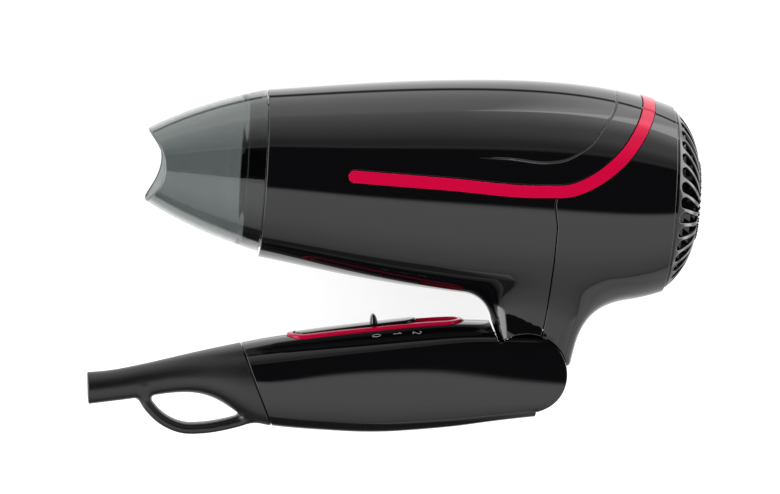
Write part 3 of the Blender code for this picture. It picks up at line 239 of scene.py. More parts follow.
barrel_top = fitted(BARREL_TOP)
barrel_bottom = fitted(BARREL_BOTTOM)
barrel_width = fitted(BARREL_WIDTH)
neck_front = eased(NECK_FRONT)
neck_rear = eased(NECK_REAR)
neck_width = eased(NECK_WIDTH)
neck_corner = eased(NECK_CORNER)
nozzle_height = fitted(NOZZLE_HEIGHT, 3)
nozzle_width = fitted(NOZZLE_WIDTH, 3)
grip_top = eased(GRIP_TOP)
grip_bottom = eased(GRIP_BOTTOM)
grip_width = eased(GRIP_WIDTH)
grip_power = eased(GRIP_POWER, 6.0)
grip_ridge = eased(GRIP_RIDGE, 6.0)


def oval(across, up, wide, high, power):
    """How far a point is outside an oval, in millimetres near its edge."""
    ratio = (np.abs(across / wide) ** power + np.abs(up / high) ** power + 1e-12) ** (1.0 / power)
    return (ratio - 1.0) * (wide + high) / 2


def barrel_section(x):
    """Centre height, half height and half width of the barrel."""
    top = barrel_top(x)
    bottom = barrel_bottom(x)
    return (top - bottom) / 2, (top + bottom) / 2, barrel_width(x)


def barrel_field(p):
    """Outside of the barrel alone."""
    centre, high, wide = barrel_section(p[:, 0])
    return oval(p[:, 2], p[:, 1] - centre, wide, high, BARREL_POWER)


def neck_field(p):
    """Neck, whose front corners sharpen and sides flare below a slanted line towards the saddle."""
    front = neck_front(p[:, 1])
    rear = neck_rear(p[:, 1])
    line = FLARE_LINE[1] - FLARE_DROP * (p[:, 0] - FLARE_LINE[0])
    line = line - REAR_LINE[1] * np.maximum(p[:, 0] - REAR_LINE[0], 0.0)
    below = np.maximum(line - p[:, 1], 0.0)
    flare = FLARE * below * below / (below + FLARE_EASE) / (1.0 + (below / FLARE_REACH) ** 3)
    wide = neck_width(p[:, 1]) + flare
    middle = (front + rear) / 2
    power = np.where(p[:, 0] < middle, neck_corner(p[:, 1]), NECK_POWER)
    across = oval(p[:, 0] - middle, p[:, 2], (rear - front) / 2, wide, power)
    return np.maximum(across, p[:, 1] - NECK_TOP_Y)


def joined(first, second, fillet):
    """Two fields run together with a fillet."""
    near = np.maximum(fillet - np.abs(first - second), 0.0)
    return np.minimum(first, second) - near * near / (4 * fillet)


def casing_field(p):
    """Outside of the barrel with its neck."""
    along = np.clip((p[:, 0] - FILLET_FROM_X) / FILLET_LENGTH, 0.0, 1.0)
    fillet = FILLET_FRONT + (FILLET_REAR - FILLET_FRONT) * along * along * (3 - 2 * along)
    return joined(barrel_field(p), neck_field(p), fillet)


def dome_x(radius):
    """Where the grille's domed face is, at a radius from its middle."""
    return GRILLE_BASE_X + GRILLE_DOME * (1.0 - (radius / GRILLE_RADIUS) ** GRILLE_POWER)


def grille_field(p):
    """Distance in front of the grille's domed face."""
    radius = np.hypot(p[:, 1] - GRILLE_CENTRE_Y, p[:, 2])
    fall = GRILLE_DOME * GRILLE_POWER / GRILLE_RADIUS * (radius / GRILLE_RADIUS) ** (GRILLE_POWER - 1.0)
    return (p[:, 0] - dome_x(radius)) / np.sqrt(1.0 + fall * fall)


def grip_section(x):
    """Centre height, half height and half width of the grip."""
    top = grip_top(x)
    bottom = grip_bottom(x)
    return (top - bottom) / 2, (top + bottom) / 2, grip_width(x)


def grip_field(p):
    """Grip, whose halves above and below its widest line are ovals of their own heights."""
    x = p[:, 0]
    ridge = grip_ridge(x)
    up = p[:, 1] - ridge
    high = np.where(up > 0.0, grip_top(x) - ridge, grip_bottom(x) + ridge)
    return oval(p[:, 2], up, grip_width(x), high, grip_power(x))


def heading(line):
    """Unit direction of a line at each of its points."""
    ahead = np.gradient(line, axis=0)
    return ahead / np.linalg.norm(ahead, axis=1, keepdims=True)


def beside(points, line):
    """Signed distance to the left of a line in the side view, and the nearest step of the line."""
    away = points[:, None, :] - line[None, :, :]
    near = (away ** 2).sum(axis=2).argmin(axis=1)
    ahead = heading(line)
    gap = points - line[near]
    return ahead[near, 0] * gap[:, 1] - ahead[near, 1] * gap[:, 0], near


def loop_field(p):
    """Outside of the hang loop: a flat-oval bar along a curve."""
    line = smooth_path(LOOP_PATH, 80)
    away, near = beside(p[:, :2], line)
    past = (near == 0) | (near == len(line) - 1)
    away = np.where(past, np.linalg.norm(p[:, :2] - line[near], axis=1), away)
    return oval(away, p[:, 2], LOOP_HALF_THICK, LOOP_HALF_WIDE, LOOP_POWER)


def boot_field(p):
    """Outside of the cord boot with its hang loop."""
    return joined(grip_field(p), loop_field(p), LOOP_FILLET)


def crease_path():
    """Line of the groove in the side view, up past the barrel's top."""
    return smooth_path(CREASE_LINE + [(CREASE_TOP_X, 42.0)], 240)


def creased_field(p):
    """Casing with the shallow groove that runs above the ribbon and over the top."""
    value = casing_field(p)
    close = np.flatnonzero((p[:, 0] > CREASE_FROM[0]) & (p[:, 1] > CREASE_FROM[1]))
    if len(close):
        line = crease_path()
        away, near = beside(p[close, :2], line)
        fade = np.clip((line[near, 0] - line[0, 0]) / CREASE_FADE, 0.0, 1.0)
        value[close] += CREASE_DEPTH * fade * np.exp(-(away / CREASE_HALF_WIDTH) ** 2)
    return value


def slope(field, p):
    """Unit direction in which a field grows fastest, and how fast."""
    step = 0.04
    change = np.zeros_like(p)
    for axis in range(3):
        shift = np.zeros(3)
        shift[axis] = step
        change[:, axis] = (field(p + shift) - field(p - shift)) / (2 * step)
    size = np.linalg.norm(change, axis=1, keepdims=True) + 1e-9
    return change / size, size[:, 0]


def settled(field, p, rounds=4, longest=1.5):
    """Points moved onto the surface of a field."""
    p = p.copy()
    near = np.flatnonzero(np.abs(field(p)) < 3.0)
    moved = p[near]
    for _ in range(rounds):
        way, speed = slope(field, moved)
        moved -= way * np.clip(field(moved) / speed, -longest, longest)[:, None]
    p[near] = moved
    return p


def smooth_path(points, count):
    """Points along a smooth curve through given points."""
    knots = np.array(points, float)
    reach = np.concatenate([[0.0], np.cumsum(np.linalg.norm(np.diff(knots, axis=0), axis=1))])
    at = np.linspace(0.0, reach[-1], count)
    return np.stack([hermite(list(zip(reach, column)), at) for column in knots.T], axis=1)


# ---------------------------------------------------------------- mesh making

WELD = 0.004


def fine(size):
    """Face size for remade solids."""
    return size * 1.0


def fine_count(count):
    """Number of rings."""
    return count


def coordinates(mesh):
    """Places of a mesh's vertices, one row each."""
    flat = np.zeros(len(mesh.vertices) * 3)
    mesh.vertices.foreach_get("co", flat)
    return flat.reshape(-1, 3)


def places(bm):
    """Places of a bmesh's vertices, one row each."""
    return np.array([vertex.co for vertex in bm.verts])


def middles(bm):
    """Middles of a bmesh's faces, one row each."""
    return np.array([face.calc_center_median() for face in bm.faces])


def settle(bm, field, rounds=4):
    """Moves every vertex onto the surface of a field."""
    for vertex, point in zip(bm.verts, settled(field, places(bm), rounds)):
        vertex.co = point


def turns(count):
    """Angles once round, evenly apart."""
    return np.linspace(0.0, 2 * math.pi, count, endpoint=False)


def skin(rings, around=False):
    """Closed mesh through rings of as many points each; around joins the last ring to the first."""
    bm = bmesh.new()
    loops = [[bm.verts.new(point) for point in ring] for ring in rings]
    pairs = list(zip(loops, loops[1:]))
    if around:
        pairs.append((loops[-1], loops[0]))
    for first, second in pairs:
        for k in range(len(first)):
            bm.faces.new((first[k - 1], first[k], second[k], second[k - 1]))
    if not around:
        bm.faces.new(loops[0])
        bm.faces.new(loops[-1])
    bmesh.ops.recalc_face_normals(bm, faces=bm.faces)
    return bm


def prism(outline, low, high, axis="Z"):
    """Outline pulled out along an axis into a closed solid."""
    bm = bmesh.new()
    if axis == "Z":
        corners = [bm.verts.new((a, b, low)) for a, b in outline]
    elif axis == "X":
        corners = [bm.verts.new((low, a, b)) for a, b in outline]
    else:
        corners = [bm.verts.new((a, low, b)) for a, b in outline]
    face = bm.faces.new(corners)
    pulled = bmesh.ops.extrude_face_region(bm, geom=[face])["geom"]
    way = {"X": (high - low, 0, 0), "Y": (0, high - low, 0), "Z": (0, 0, high - low)}[axis]
    bmesh.ops.translate(bm, vec=way, verts=[part for part in pulled if isinstance(part, bmesh.types.BMVert)])
    bmesh.ops.recalc_face_normals(bm, faces=bm.faces)
    return bm


def joined_shapes(shapes):
    """Several separate bmeshes as one."""
    whole = bmesh.new()
    for shape in shapes:
        mesh = bpy.data.meshes.new("part")
        shape.to_mesh(mesh)
        shape.free()
        whole.from_mesh(mesh)
        bpy.data.meshes.remove(mesh)
    return whole


def helper(bm):
    """Throwaway object around a bmesh."""
    mesh = bpy.data.meshes.new("helper")
    bm.to_mesh(mesh)
    bm.free()
    thing = bpy.data.objects.new("helper", mesh)
    bpy.context.scene.collection.objects.link(thing)
    return thing


def worked(thing, extras=()):
    """Bmesh of a helper with its modifiers applied; the helpers are then removed."""
    mesh = bpy.data.meshes.new_from_object(thing.evaluated_get(bpy.context.evaluated_depsgraph_get()))
    for used in (thing, *extras):
        old = used.data
        bpy.data.objects.remove(used)
        bpy.data.meshes.remove(old)
    bm = bmesh.new()
    bm.from_mesh(mesh)
    bpy.data.meshes.remove(mesh)
    return bm


def cut(body, cutters, operation="DIFFERENCE"):
    """Bmesh of a solid after others are taken from it or joined to it."""
    thing = helper(body)
    tools = [helper(cutter) for cutter in cutters]
    for tool in tools:
        step = thing.modifiers.new("cut", "BOOLEAN")
        step.operation = operation
        step.solver = "EXACT"
        step.object = tool
    return worked(thing, tools)


def even_solid(body, field, size, relax=3):
    """Solid remade from even small faces that lie on a field's surface."""
    thing = helper(body)
    step = thing.modifiers.new("even", "REMESH")
    step.mode = "VOXEL"
    step.voxel_size = size
    bm = worked(thing)
    for _ in range(relax):
        for _ in range(3):
            bmesh.ops.smooth_vert(bm, verts=bm.verts, factor=0.5, use_axis_x=True, use_axis_y=True,
                                  use_axis_z=True)
        settle(bm, field)
    return bm


def skin_only(bm, field, tolerance=0.09):
    """Keeps only the faces that lie on the field's surface, which opens the solid at its cuts."""
    depth = field(middles(bm))
    spare = [face for face, value in zip(bm.faces, depth) if value < -tolerance]
    bmesh.ops.delete(bm, geom=spare, context="FACES")
    bmesh.ops.remove_doubles(bm, verts=bm.verts, dist=WELD)
    bmesh.ops.dissolve_degenerate(bm, edges=bm.edges, dist=WELD)
    return bm


def trimmed(bm, point, outward):
    """Cuts away what lies past a plane, on the side that outward points to."""
    geometry = list(bm.verts) + list(bm.edges) + list(bm.faces)
    bmesh.ops.bisect_plane(bm, geom=geometry, dist=1e-4, plane_co=point, plane_no=outward, clear_outer=True)
    bmesh.ops.remove_doubles(bm, verts=bm.verts, dist=WELD)
    return bm


def rolled_rims(bm, field, radius, wall, steps=3):
    """Rounds every open edge over by a radius, then pulls it in; wall gives each point's pull."""
    rows = bm.verts.layers.int.new("row")
    rim = [edge for edge in bm.edges if edge.is_boundary]
    verts = list(dict.fromkeys(vertex for edge in rim for vertex in edge.verts))
    base = np.array([vertex.co for vertex in verts])
    normal, _ = slope(field, base)
    row = {vertex: k for k, vertex in enumerate(verts)}
    out = np.zeros_like(base)
    total = np.zeros((len(verts), 1))
    for edge in rim:
        first, second = edge.verts
        k, n = row[first], row[second]
        along = base[n] - base[k]
        side = np.cross(along, normal[k] + normal[n])
        face = edge.link_faces[0]
        if np.dot(side, np.array(face.calc_center_median()) - (base[k] + base[n]) / 2) > 0:
            side = -side
        out[k] += side
        out[n] += side
        total[k] += np.linalg.norm(side)
        total[n] += np.linalg.norm(side)
    out -= (out * normal).sum(axis=1, keepdims=True) * normal
    length = np.linalg.norm(out, axis=1, keepdims=True) + 1e-9
    out *= np.minimum(total / length, 1.5) / length
    pull = np.array([wall(point, way) for point, way in zip(base, normal)])
    for vertex, k in row.items():
        vertex[rows] = k
    edges = rim
    for turn in range(1, steps + 2):
        grown = bmesh.ops.extrude_edge_only(bm, edges=edges)["geom"]
        edges = [part for part in grown if isinstance(part, bmesh.types.BMEdge) and part.is_boundary]
        angle = math.pi / 2 * min(turn, steps) / steps
        for vertex in (part for part in grown if isinstance(part, bmesh.types.BMVert)):
            k = vertex[rows]
            place = base[k] + out[k] * radius * math.sin(angle) - normal[k] * radius * (1 - math.cos(angle))
            if turn > steps:
                place = place + pull[k]
            vertex.co = place
    bm.verts.layers.int.remove(rows)
    bmesh.ops.recalc_face_normals(bm, faces=bm.faces)
    centres = middles(bm)
    outward, _ = slope(field, centres)
    facing = (outward * np.array([face.normal for face in bm.faces])).sum(axis=1)
    if facing[np.abs(field(centres)) < 0.05].mean() < 0.0:
        bmesh.ops.reverse_faces(bm, faces=bm.faces)
    return bm


def straight_in(depth):
    """Wall that goes straight in from the surface."""
    return lambda point, normal: -normal * depth


def thickened(bm, thickness):
    """Open skin given a wall thickness on its inner side."""
    thing = helper(bm)
    step = thing.modifiers.new("wall", "SOLIDIFY")
    step.thickness = thickness
    step.offset = -1.0
    return worked(thing)


def finished(name, bm, axes, surface, body, replaced=(), field=None, sharp=35.0):
    """Turns a bmesh in millimetres into a piece of the dryer that rides on a body."""
    if field is None:
        bmesh.ops.recalc_face_normals(bm, faces=bm.faces)
        if bm.calc_volume(signed=True) < 0.0:
            bmesh.ops.reverse_faces(bm, faces=bm.faces)
    mesh = bpy.data.meshes.new(name)
    bm.to_mesh(mesh)
    bm.free()
    mesh.materials.append(surface)
    mesh.shade_smooth()
    mesh.set_sharp_from_angle(angle=math.radians(sharp))
    normals = None
    if field is not None:
        points = coordinates(mesh)
        true_normal, _ = slope(field, points)
        on = np.abs(field(points)) < 0.02
        corner = np.zeros(len(mesh.loops), int)
        mesh.loops.foreach_get("vertex_index", corner)
        normals = np.zeros(len(mesh.loops) * 3)
        mesh.corner_normals.foreach_get("vector", normals)
        normals = normals.reshape(-1, 3)
        use = on[corner] & ((normals * true_normal[corner]).sum(axis=1) > 0.8)
        normals[use] = true_normal[corner[use]]
        turn = np.array(axes.to_3x3().normalized())
        normals = normals @ turn.T
    mesh.transform(axes)
    if normals is not None:
        mesh.normals_split_custom_set(normals.tolist())
    piece = bpy.data.objects.new(name, mesh)
    bpy.context.scene.collection.objects.link(piece)
    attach(piece, body)
    if replaced:
        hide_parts(*replaced)
    return piece


# ---------------------------------------------------------------- shared cutters

CUT_REACH = 60.0


def offset_line(points, distance):
    """Line moved sideways, to the left of its direction."""
    line = np.array(points, float)
    ahead = heading(line)
    return line + distance * np.stack([-ahead[:, 1], ahead[:, 0]], axis=1)


def ribbon_band(half):
    """Band along the ribbon's line, through the whole barrel, with a round tip."""
    line = smooth_path(RIBBON_LINE + [(RIBBON_TOP_X, 44.0)], 130)
    line = np.vstack([line, [(RIBBON_TOP_X, 60.0)]])
    upper = offset_line(line, half)
    lower = offset_line(line, -half)
    tip = [(line[0, 0] - half * math.sin(a), line[0, 1] + half * math.cos(a))
           for a in np.linspace(0.0, math.pi, 16)[1:-1]]
    return prism(list(map(tuple, upper[::-1])) + tip + list(map(tuple, lower)), -CUT_REACH, CUT_REACH)


def seam_side(shift, rear):
    """Everything on one side of the line between the casings."""
    line = list(map(tuple, offset_line(smooth_path(CASING_SEAM, 90), -shift)))
    far = 200.0 if rear else -60.0
    foot, head = -90.0, 70.0
    outline = [(line[0][0], foot)] + line + [(line[-1][0], head), (far, head), (far, foot)]
    return prism(outline, -CUT_REACH, CUT_REACH)


def cylinder(radius, low, high, axis="Z", centre=(0.0, 0.0), segments=96):
    """Round bar along an axis through a point of the plane across it."""
    ring = [(centre[0] + radius * math.cos(a), centre[1] + radius * math.sin(a)) for a in turns(segments)]
    return prism(ring, low, high, axis)


def lathe(profile, segments, axis="X", centre=(0.0, 0.0, 0.0)):
    """Turned ring whose (along, radius) profile closes on itself."""
    rings = []
    for along, radius in profile:
        ring = []
        for a in turns(segments):
            across = (radius * math.cos(a), radius * math.sin(a))
            point = (along, *across) if axis == "X" else (*across, along)
            ring.append(tuple(c + v for c, v in zip(centre, point)))
        rings.append(ring)
    return skin(rings, around=True)


def arc(centre, radius, start, end, steps):
    """Points of an arc, in degrees."""
    return [(centre[0] + radius * math.cos(math.radians(a)), centre[1] + radius * math.sin(math.radians(a)))
            for a in np.linspace(start, end, steps)]


# ---------------------------------------------------------------- casings

SEAM_RIM = 0.35
HALF_GAP = 0.15
CASING_WALL = 1.6
WALL_INSET = 1.2
SADDLE_LEDGE = 2.0
OUTLET_LEDGE = 4.2
SPIGOT_ROOT_X = 2.6


def oval_ring(x, centre, high, wide, power, count):
    """Points round one oval that stands across the X axis."""
    angles = turns(count)
    up = np.sign(np.sin(angles)) * np.abs(np.sin(angles)) ** (2 / power)
    out = np.sign(np.cos(angles)) * np.abs(np.cos(angles)) ** (2 / power)
    return [(x, centre + high * u, wide * o) for u, o in zip(up, out)]


def oval_loft(low, high, steps, section, power, count, grow=0.0):
    """Solid through the ovals of a section from one x to another; power may change along it."""
    rings = []
    for x in np.linspace(low, high, steps):
        centre, up, out = section(x)
        exponent = power(x) if callable(power) else power
        rings.append(oval_ring(x, centre, up + grow, out + grow, exponent, count))
    return skin(rings)


def casing_solid():
    """Barrel and neck as one solid of even faces, finer along the crease."""
    barrel = oval_loft(-8.0, 166.0, 60, barrel_section, BARREL_POWER, 96)
    rings = []
    for y in np.linspace(NECK_FRONT[0][0], NECK_TOP_Y, 30):
        front, rear, wide = neck_front(y), neck_rear(y), neck_width(y)
        ring = oval_ring(0.0, 0.0, (rear - front) / 2, wide, NECK_POWER, 64)
        rings.append([((front + rear) / 2 + v[1], y, v[2]) for v in ring])
    neck = skin(rings)
    body = even_solid(joined_shapes([barrel, neck]), casing_field, fine(1.3))
    line = crease_path()
    for reach in CREASE_REACHES:
        points = places(body)
        away, _ = beside(points[:, :2], line)
        gap = np.abs(away)
        gap[(points[:, 0] < 79.0) | (points[:, 1] < CREASE_FROM[1])] = 99.0
        close = [edge for edge in body.edges if gap[edge.verts[0].index] < reach
                 and gap[edge.verts[1].index] < reach]
        bmesh.ops.subdivide_edges(body, edges=close, cuts=1, use_grid_fill=True)
        body.verts.index_update()
        body.verts.ensure_lookup_table()
    settle(body, creased_field)
    return body


def casing_wall(point, normal):
    """Walls go straight in, but run along the saddle and across the outlet's face."""
    x, y = point[0] - HINGE_X, point[1] - HINGE_Y
    reach = math.hypot(x, y)
    if point[1] < -50.0 and abs(reach - SADDLE_RADIUS) < 1.2:
        way = np.array([x / reach, y / reach, 0.0])
        along = -normal + np.dot(normal, way) * way
        return along / (np.linalg.norm(along) + 1e-9) * SADDLE_LEDGE
    if point[0] < 1.5:
        return -normal * OUTLET_LEDGE
    return -normal * WALL_INSET


def spigot():
    """Tapered collar behind the outlet, which the nozzle slides over."""
    tip = -SPIGOT_LENGTH
    profile = [(SPIGOT_ROOT_X, SPIGOT_RADIUS), (tip + 0.5, SPIGOT_TIP_RADIUS)]
    profile += arc((tip + 0.5, SPIGOT_TIP_RADIUS - 0.5), 0.5, 90, 180, 5)[1:]
    profile += [(tip, OUTLET_RADIUS + 0.3), (tip + 0.3, OUTLET_RADIUS), (SPIGOT_ROOT_X, OUTLET_RADIUS)]
    return lathe(profile, 128)


def build_casing(name, rear, surface):
    """Front or rear casing, cut back by half a gap at the seam, the ribbon and the hinge's saddle."""
    rim = SEAM_RIM
    back = HALF_GAP + rim
    cutters = [ribbon_band(RIBBON_HALF_WIDTH + back), seam_side(back if rear else -back, not rear)]
    saddle = cylinder(SADDLE_RADIUS + rim, -40.0, 40.0, centre=(HINGE_X, HINGE_Y), segments=128)
    cutters.append(saddle)
    skin_part = skin_only(cut(casing_solid(), cutters), creased_field)
    if rear:
        trimmed(skin_part, (BARREL_END - 0.6, 0, 0), (1, 0, 0))
        trimmed(skin_part, (0, NECK_TIP_Y + rim, 0), (0, -1, 0))
    else:
        trimmed(skin_part, (rim, 0, 0), (-1, 0, 0))
    skin_part = rolled_rims(skin_part, creased_field, rim, casing_wall)
    shell = thickened(skin_part, CASING_WALL)
    if not rear:
        shell = joined_shapes([shell, spigot()])
    return finished("casing_rear" if rear else "casing_front", shell, barrel_axes(), surface, "barrel",
                    [name], creased_field)


# ---------------------------------------------------------------- ribbon

RIBBON_HALF_WIDTH = 2.35
RIBBON_PROUD = 0.5
RIBBON_EDGE = 0.22
RIBBON_WALL = 0.8


def ribbon_field(p):
    """Face of the ribbon, which stands proud of the barrel."""
    return barrel_field(p) - RIBBON_PROUD


def build_ribbon(surface):
    """Raised strip along both sides and over the top; nothing of it runs under the barrel."""
    swollen = oval_loft(25.0, 160.0, fine_count(100), barrel_section, BARREL_POWER, 200, RIBBON_PROUD)
    solid = cut(swollen, [ribbon_band(RIBBON_HALF_WIDTH - RIBBON_EDGE)], "INTERSECT")
    settle(solid, ribbon_field, 2)
    strip = skin_only(solid, ribbon_field)
    below = [face for face in strip.faces if face.calc_center_median().y < -30.0]
    bmesh.ops.delete(strip, geom=below, context="FACES")
    strip = rolled_rims(strip, ribbon_field, RIBBON_EDGE, straight_in(0.5), 5)
    return finished("ribbon", thickened(strip, RIBBON_WALL), barrel_axes(), surface, "barrel",
                    ["trim_ribbon"], ribbon_field)


# ---------------------------------------------------------------- nozzle

PARTING_RIDGE = 0.07
SEAM_ROUND = 0.3


def mouth_x(y):
    """Where the mouth's edge is at a height: it is hollowed in the middle of each broad side."""
    hollow = np.clip(1.0 - (y / NOTCH_REACH) ** 2, 0.0, 1.0)
    return NOZZLE_MOUTH + NOTCH_DEPTH * hollow


def build_nozzle(surface):
    """Clear tube with a rounded rim, seated round the spigot; its points crowd at the notches."""
    angles = turns(192)
    angles = angles - 0.35 * np.sin(2 * angles)
    up, out = np.sin(angles), np.cos(angles)
    edge = np.full(len(angles), NOZZLE_MOUTH)
    for _ in range(20):
        edge = 0.5 * edge + 0.5 * mouth_x(nozzle_height(edge) * up)
    ridge = PARTING_RIDGE * np.exp(-(nozzle_height(edge) * up / 0.3) ** 2)

    def ring(share, inset, pull=0.0):
        x = edge + pull + (NOZZLE_SEAM - edge) * share
        high = nozzle_height(x) - inset
        wide = nozzle_width(x) - inset
        seat = SPIGOT_RADIUS + SEAT_GAP + (x / SPIGOT_LENGTH) * (SPIGOT_RADIUS - SPIGOT_TIP_RADIUS)
        if inset >= NOZZLE_WALL:
            high = np.where(x > -SPIGOT_LENGTH - 0.6, np.maximum(high, seat + NOZZLE_RISE), high)
            wide = np.where(x > -SPIGOT_LENGTH - 0.6, np.maximum(wide, seat), wide)
        lift = ridge if inset <= 0.0 else 0.0
        return np.stack([x, NOZZLE_RISE + high * up, wide * out + lift * np.sign(out)], axis=1)

    shares = np.linspace(0.0, 1.0, 44)
    rings = []
    half = NOZZLE_WALL / 2
    for a in np.linspace(0.0, math.pi / 2, 6):
        rings.append(ring(0.0, half * (1 - math.sin(a)), half * (1 - math.cos(a))))
    for share in shares[1:-1]:
        rings.append(ring(share, 0.0))
    for a in np.linspace(0.0, math.pi / 2, 4):
        rings.append(ring(1.0, SEAM_ROUND * (1 - math.cos(a)), -SEAM_ROUND * (1 - math.sin(a))))
    for share in shares[::-1][:-1]:
        rings.append(ring(share, NOZZLE_WALL))
    for a in np.linspace(math.pi / 2, 0.0, 6)[:-1]:
        rings.append(ring(0.0, half * (1 + math.sin(a)), half * (1 - math.cos(a))))
    tube = skin([list(map(tuple, points)) for points in rings], around=True)
    return finished("clear_nozzle", tube, barrel_axes(), surface, "nozzle", ["nozzle"],
                    sharp=50.0)


# ---------------------------------------------------------------- intake grille

SLOT_SHARE_INNER = 0.5
SLOT_SHARE_OUTER = 0.79
SLOT_EDGE = 0.35
RING_RADII = (13.6, 20.0, 26.0, 30.5)
RING_DEPTH = 7.0
RING_SUNK = 1.0
RING_HALF_THICK = 0.4
GRILLE_BACK_X = 150.0
GRILLE_SEGMENTS = 272
RIB_PULL = np.array([-2.4, 0.0, 0.0])
RIB_WALL = 1.2


def slot_outline(turn, grow):
    """One swept slot seen along the barrel's axis, with round ends."""
    share = (1.0 - np.cos(np.linspace(0.0, math.pi, 30))) / 2
    radii = SLOT_INNER + (SLOT_OUTER - SLOT_INNER) * share
    middle = turn + SLOT_SWIRL * (1.0 - share) ** 1.3
    line = np.stack([GRILLE_CENTRE_Y + radii * np.cos(middle), radii * np.sin(middle)], axis=1)
    ahead = heading(line)
    side = np.stack([-ahead[:, 1], ahead[:, 0]], axis=1)
    away = np.stack([np.cos(middle), np.sin(middle)], axis=1)
    slant = np.abs((ahead * away).sum(axis=1))
    half = (SLOT_SHARE_INNER + (SLOT_SHARE_OUTER - SLOT_SHARE_INNER) * share) * slant * (
        math.pi * radii / GRILLE_SLOTS)
    for gap, full in ((radii - radii[0], half[0]), (radii[-1] - radii, half[-1])):
        ease = np.clip(gap / full, 0.0, 1.0)
        half = half * np.sqrt(1.0 - (1.0 - ease) ** 2)
    half = half + grow
    left = line + side * half[:, None]
    right = line - side * half[:, None]
    cap = line[-1] + ahead[-1] * grow
    foot = line[0] - ahead[0] * grow
    return [tuple(foot)] + list(map(tuple, right)) + [tuple(cap)] + list(map(tuple, left[::-1]))


def hoop(x, radius):
    """Ring of points round the grille's middle."""
    return [(x, GRILLE_CENTRE_Y + radius * math.cos(a), radius * math.sin(a))
            for a in turns(GRILLE_SEGMENTS)]


def build_grille(surface):
    """Domed grille with swept slots, over thin concentric rings that close the view inside."""
    radii = np.concatenate([[1.0, 4.0], np.linspace(7.0, 31.0, 25), np.linspace(31.6, 34.2, 9)])
    solid = skin([hoop(dome_x(radius), radius) for radius in radii] + [hoop(GRILLE_BACK_X, radii[-1])])
    slots = joined_shapes([prism(slot_outline(2 * math.pi * k / GRILLE_SLOTS, SLOT_EDGE), 140.0, 180.0, "X")
                           for k in range(GRILLE_SLOTS)])
    dome = skin_only(cut(solid, [slots]), grille_field)

    dome = rolled_rims(dome, grille_field, SLOT_EDGE, lambda point, normal: RIB_PULL, 4)
    dome = thickened(dome, RIB_WALL)
    rings = []
    for radius in RING_RADII:
        back, face = dome_x(radius) - RING_DEPTH, dome_x(radius) - RING_SUNK
        within, beyond = radius - RING_HALF_THICK, radius + RING_HALF_THICK
        profile = [(back, within), (face, within), (face, beyond), (back, beyond)]
        rings.append(lathe(profile, 128, centre=(0.0, GRILLE_CENTRE_Y, 0.0)))
    return finished("grille", joined_shapes([dome] + rings), barrel_axes(), surface, "barrel",
                    ["intake_grille"], grille_field)


# ---------------------------------------------------------------- handle

GRIP_RIM = 0.35
GRIP_WALL = 1.3
SCREW_FLOOR_Z = -8.0


def boot_cut(bm, shift, outward):
    """Cuts along the slanted seam between handle and boot; outward is -1 to drop the boot's side."""
    drop = BOOT_SEAM_TOP[1] - BOOT_SEAM_BOTTOM[1]
    lean = BOOT_SEAM_BOTTOM[0] - BOOT_SEAM_TOP[0]
    across = Vector((drop, lean, 0.0)).normalized() * outward
    return trimmed(bm, (BOOT_SEAM_TOP[0] + shift, BOOT_SEAM_TOP[1], 0.0), across)


def beyond_head(grow):
    """What lies past the handle's shoulder, its round head and its lip, in the side view."""
    start = math.atan2(HEAD_STARTS[1], HEAD_STARTS[0])
    finish = math.atan2(LIP_Y, LIP_X)
    radius = HEAD_RADIUS - grow
    outline = [(SHOULDER[0][0] - grow, 30.0)] + [(x - grow, y) for x, y in SHOULDER]
    outline += [(radius * math.cos(a), radius * math.sin(a)) for a in np.linspace(start, finish, 60)]
    outline += [(LIP_X - grow, -30.0), (40.0, -30.0), (40.0, 30.0)]
    return prism(outline, -40.0, 40.0)


def deck_point(u, v, z):
    """Switch-deck millimetres in the handle's own axes."""
    cos, sin = math.cos(DECK_TILT), math.sin(DECK_TILT)
    return DECK_X + u * cos - v * sin, DECK_Y + u * sin + v * cos, z


def stadium(back, front, half, count):
    """Slot outline with round ends, as (along, across) pairs."""
    steps = count // 4
    outline = [(front - half + half * math.cos(a), half * math.sin(a))
               for a in np.linspace(-math.pi / 2, math.pi / 2, steps, endpoint=False)]
    outline += [(front - half + (back - front + 2 * half) * t, half)
                for t in np.linspace(0.0, 1.0, steps, endpoint=False)]
    outline += [(back + half + half * math.cos(a), half * math.sin(a))
                for a in np.linspace(math.pi / 2, 3 * math.pi / 2, steps, endpoint=False)]
    outline += [(back + half + (front - back - 2 * half) * t, -half)
                for t in np.linspace(0.0, 1.0, steps, endpoint=False)]
    return outline


def deck_prism(outline, low, high):
    """Outline on the switch deck pulled out along the deck's own upright."""
    bm = prism(outline, low, high, "Y")
    for vertex in bm.verts:
        vertex.co = deck_point(*vertex.co)
    return bm


HANDLE_SCREWS = [(-88.0, -6.0), (-52.0, -8.0), (-24.0, -8.0)]
SCREW_HOLE_RADIUS = 3.0


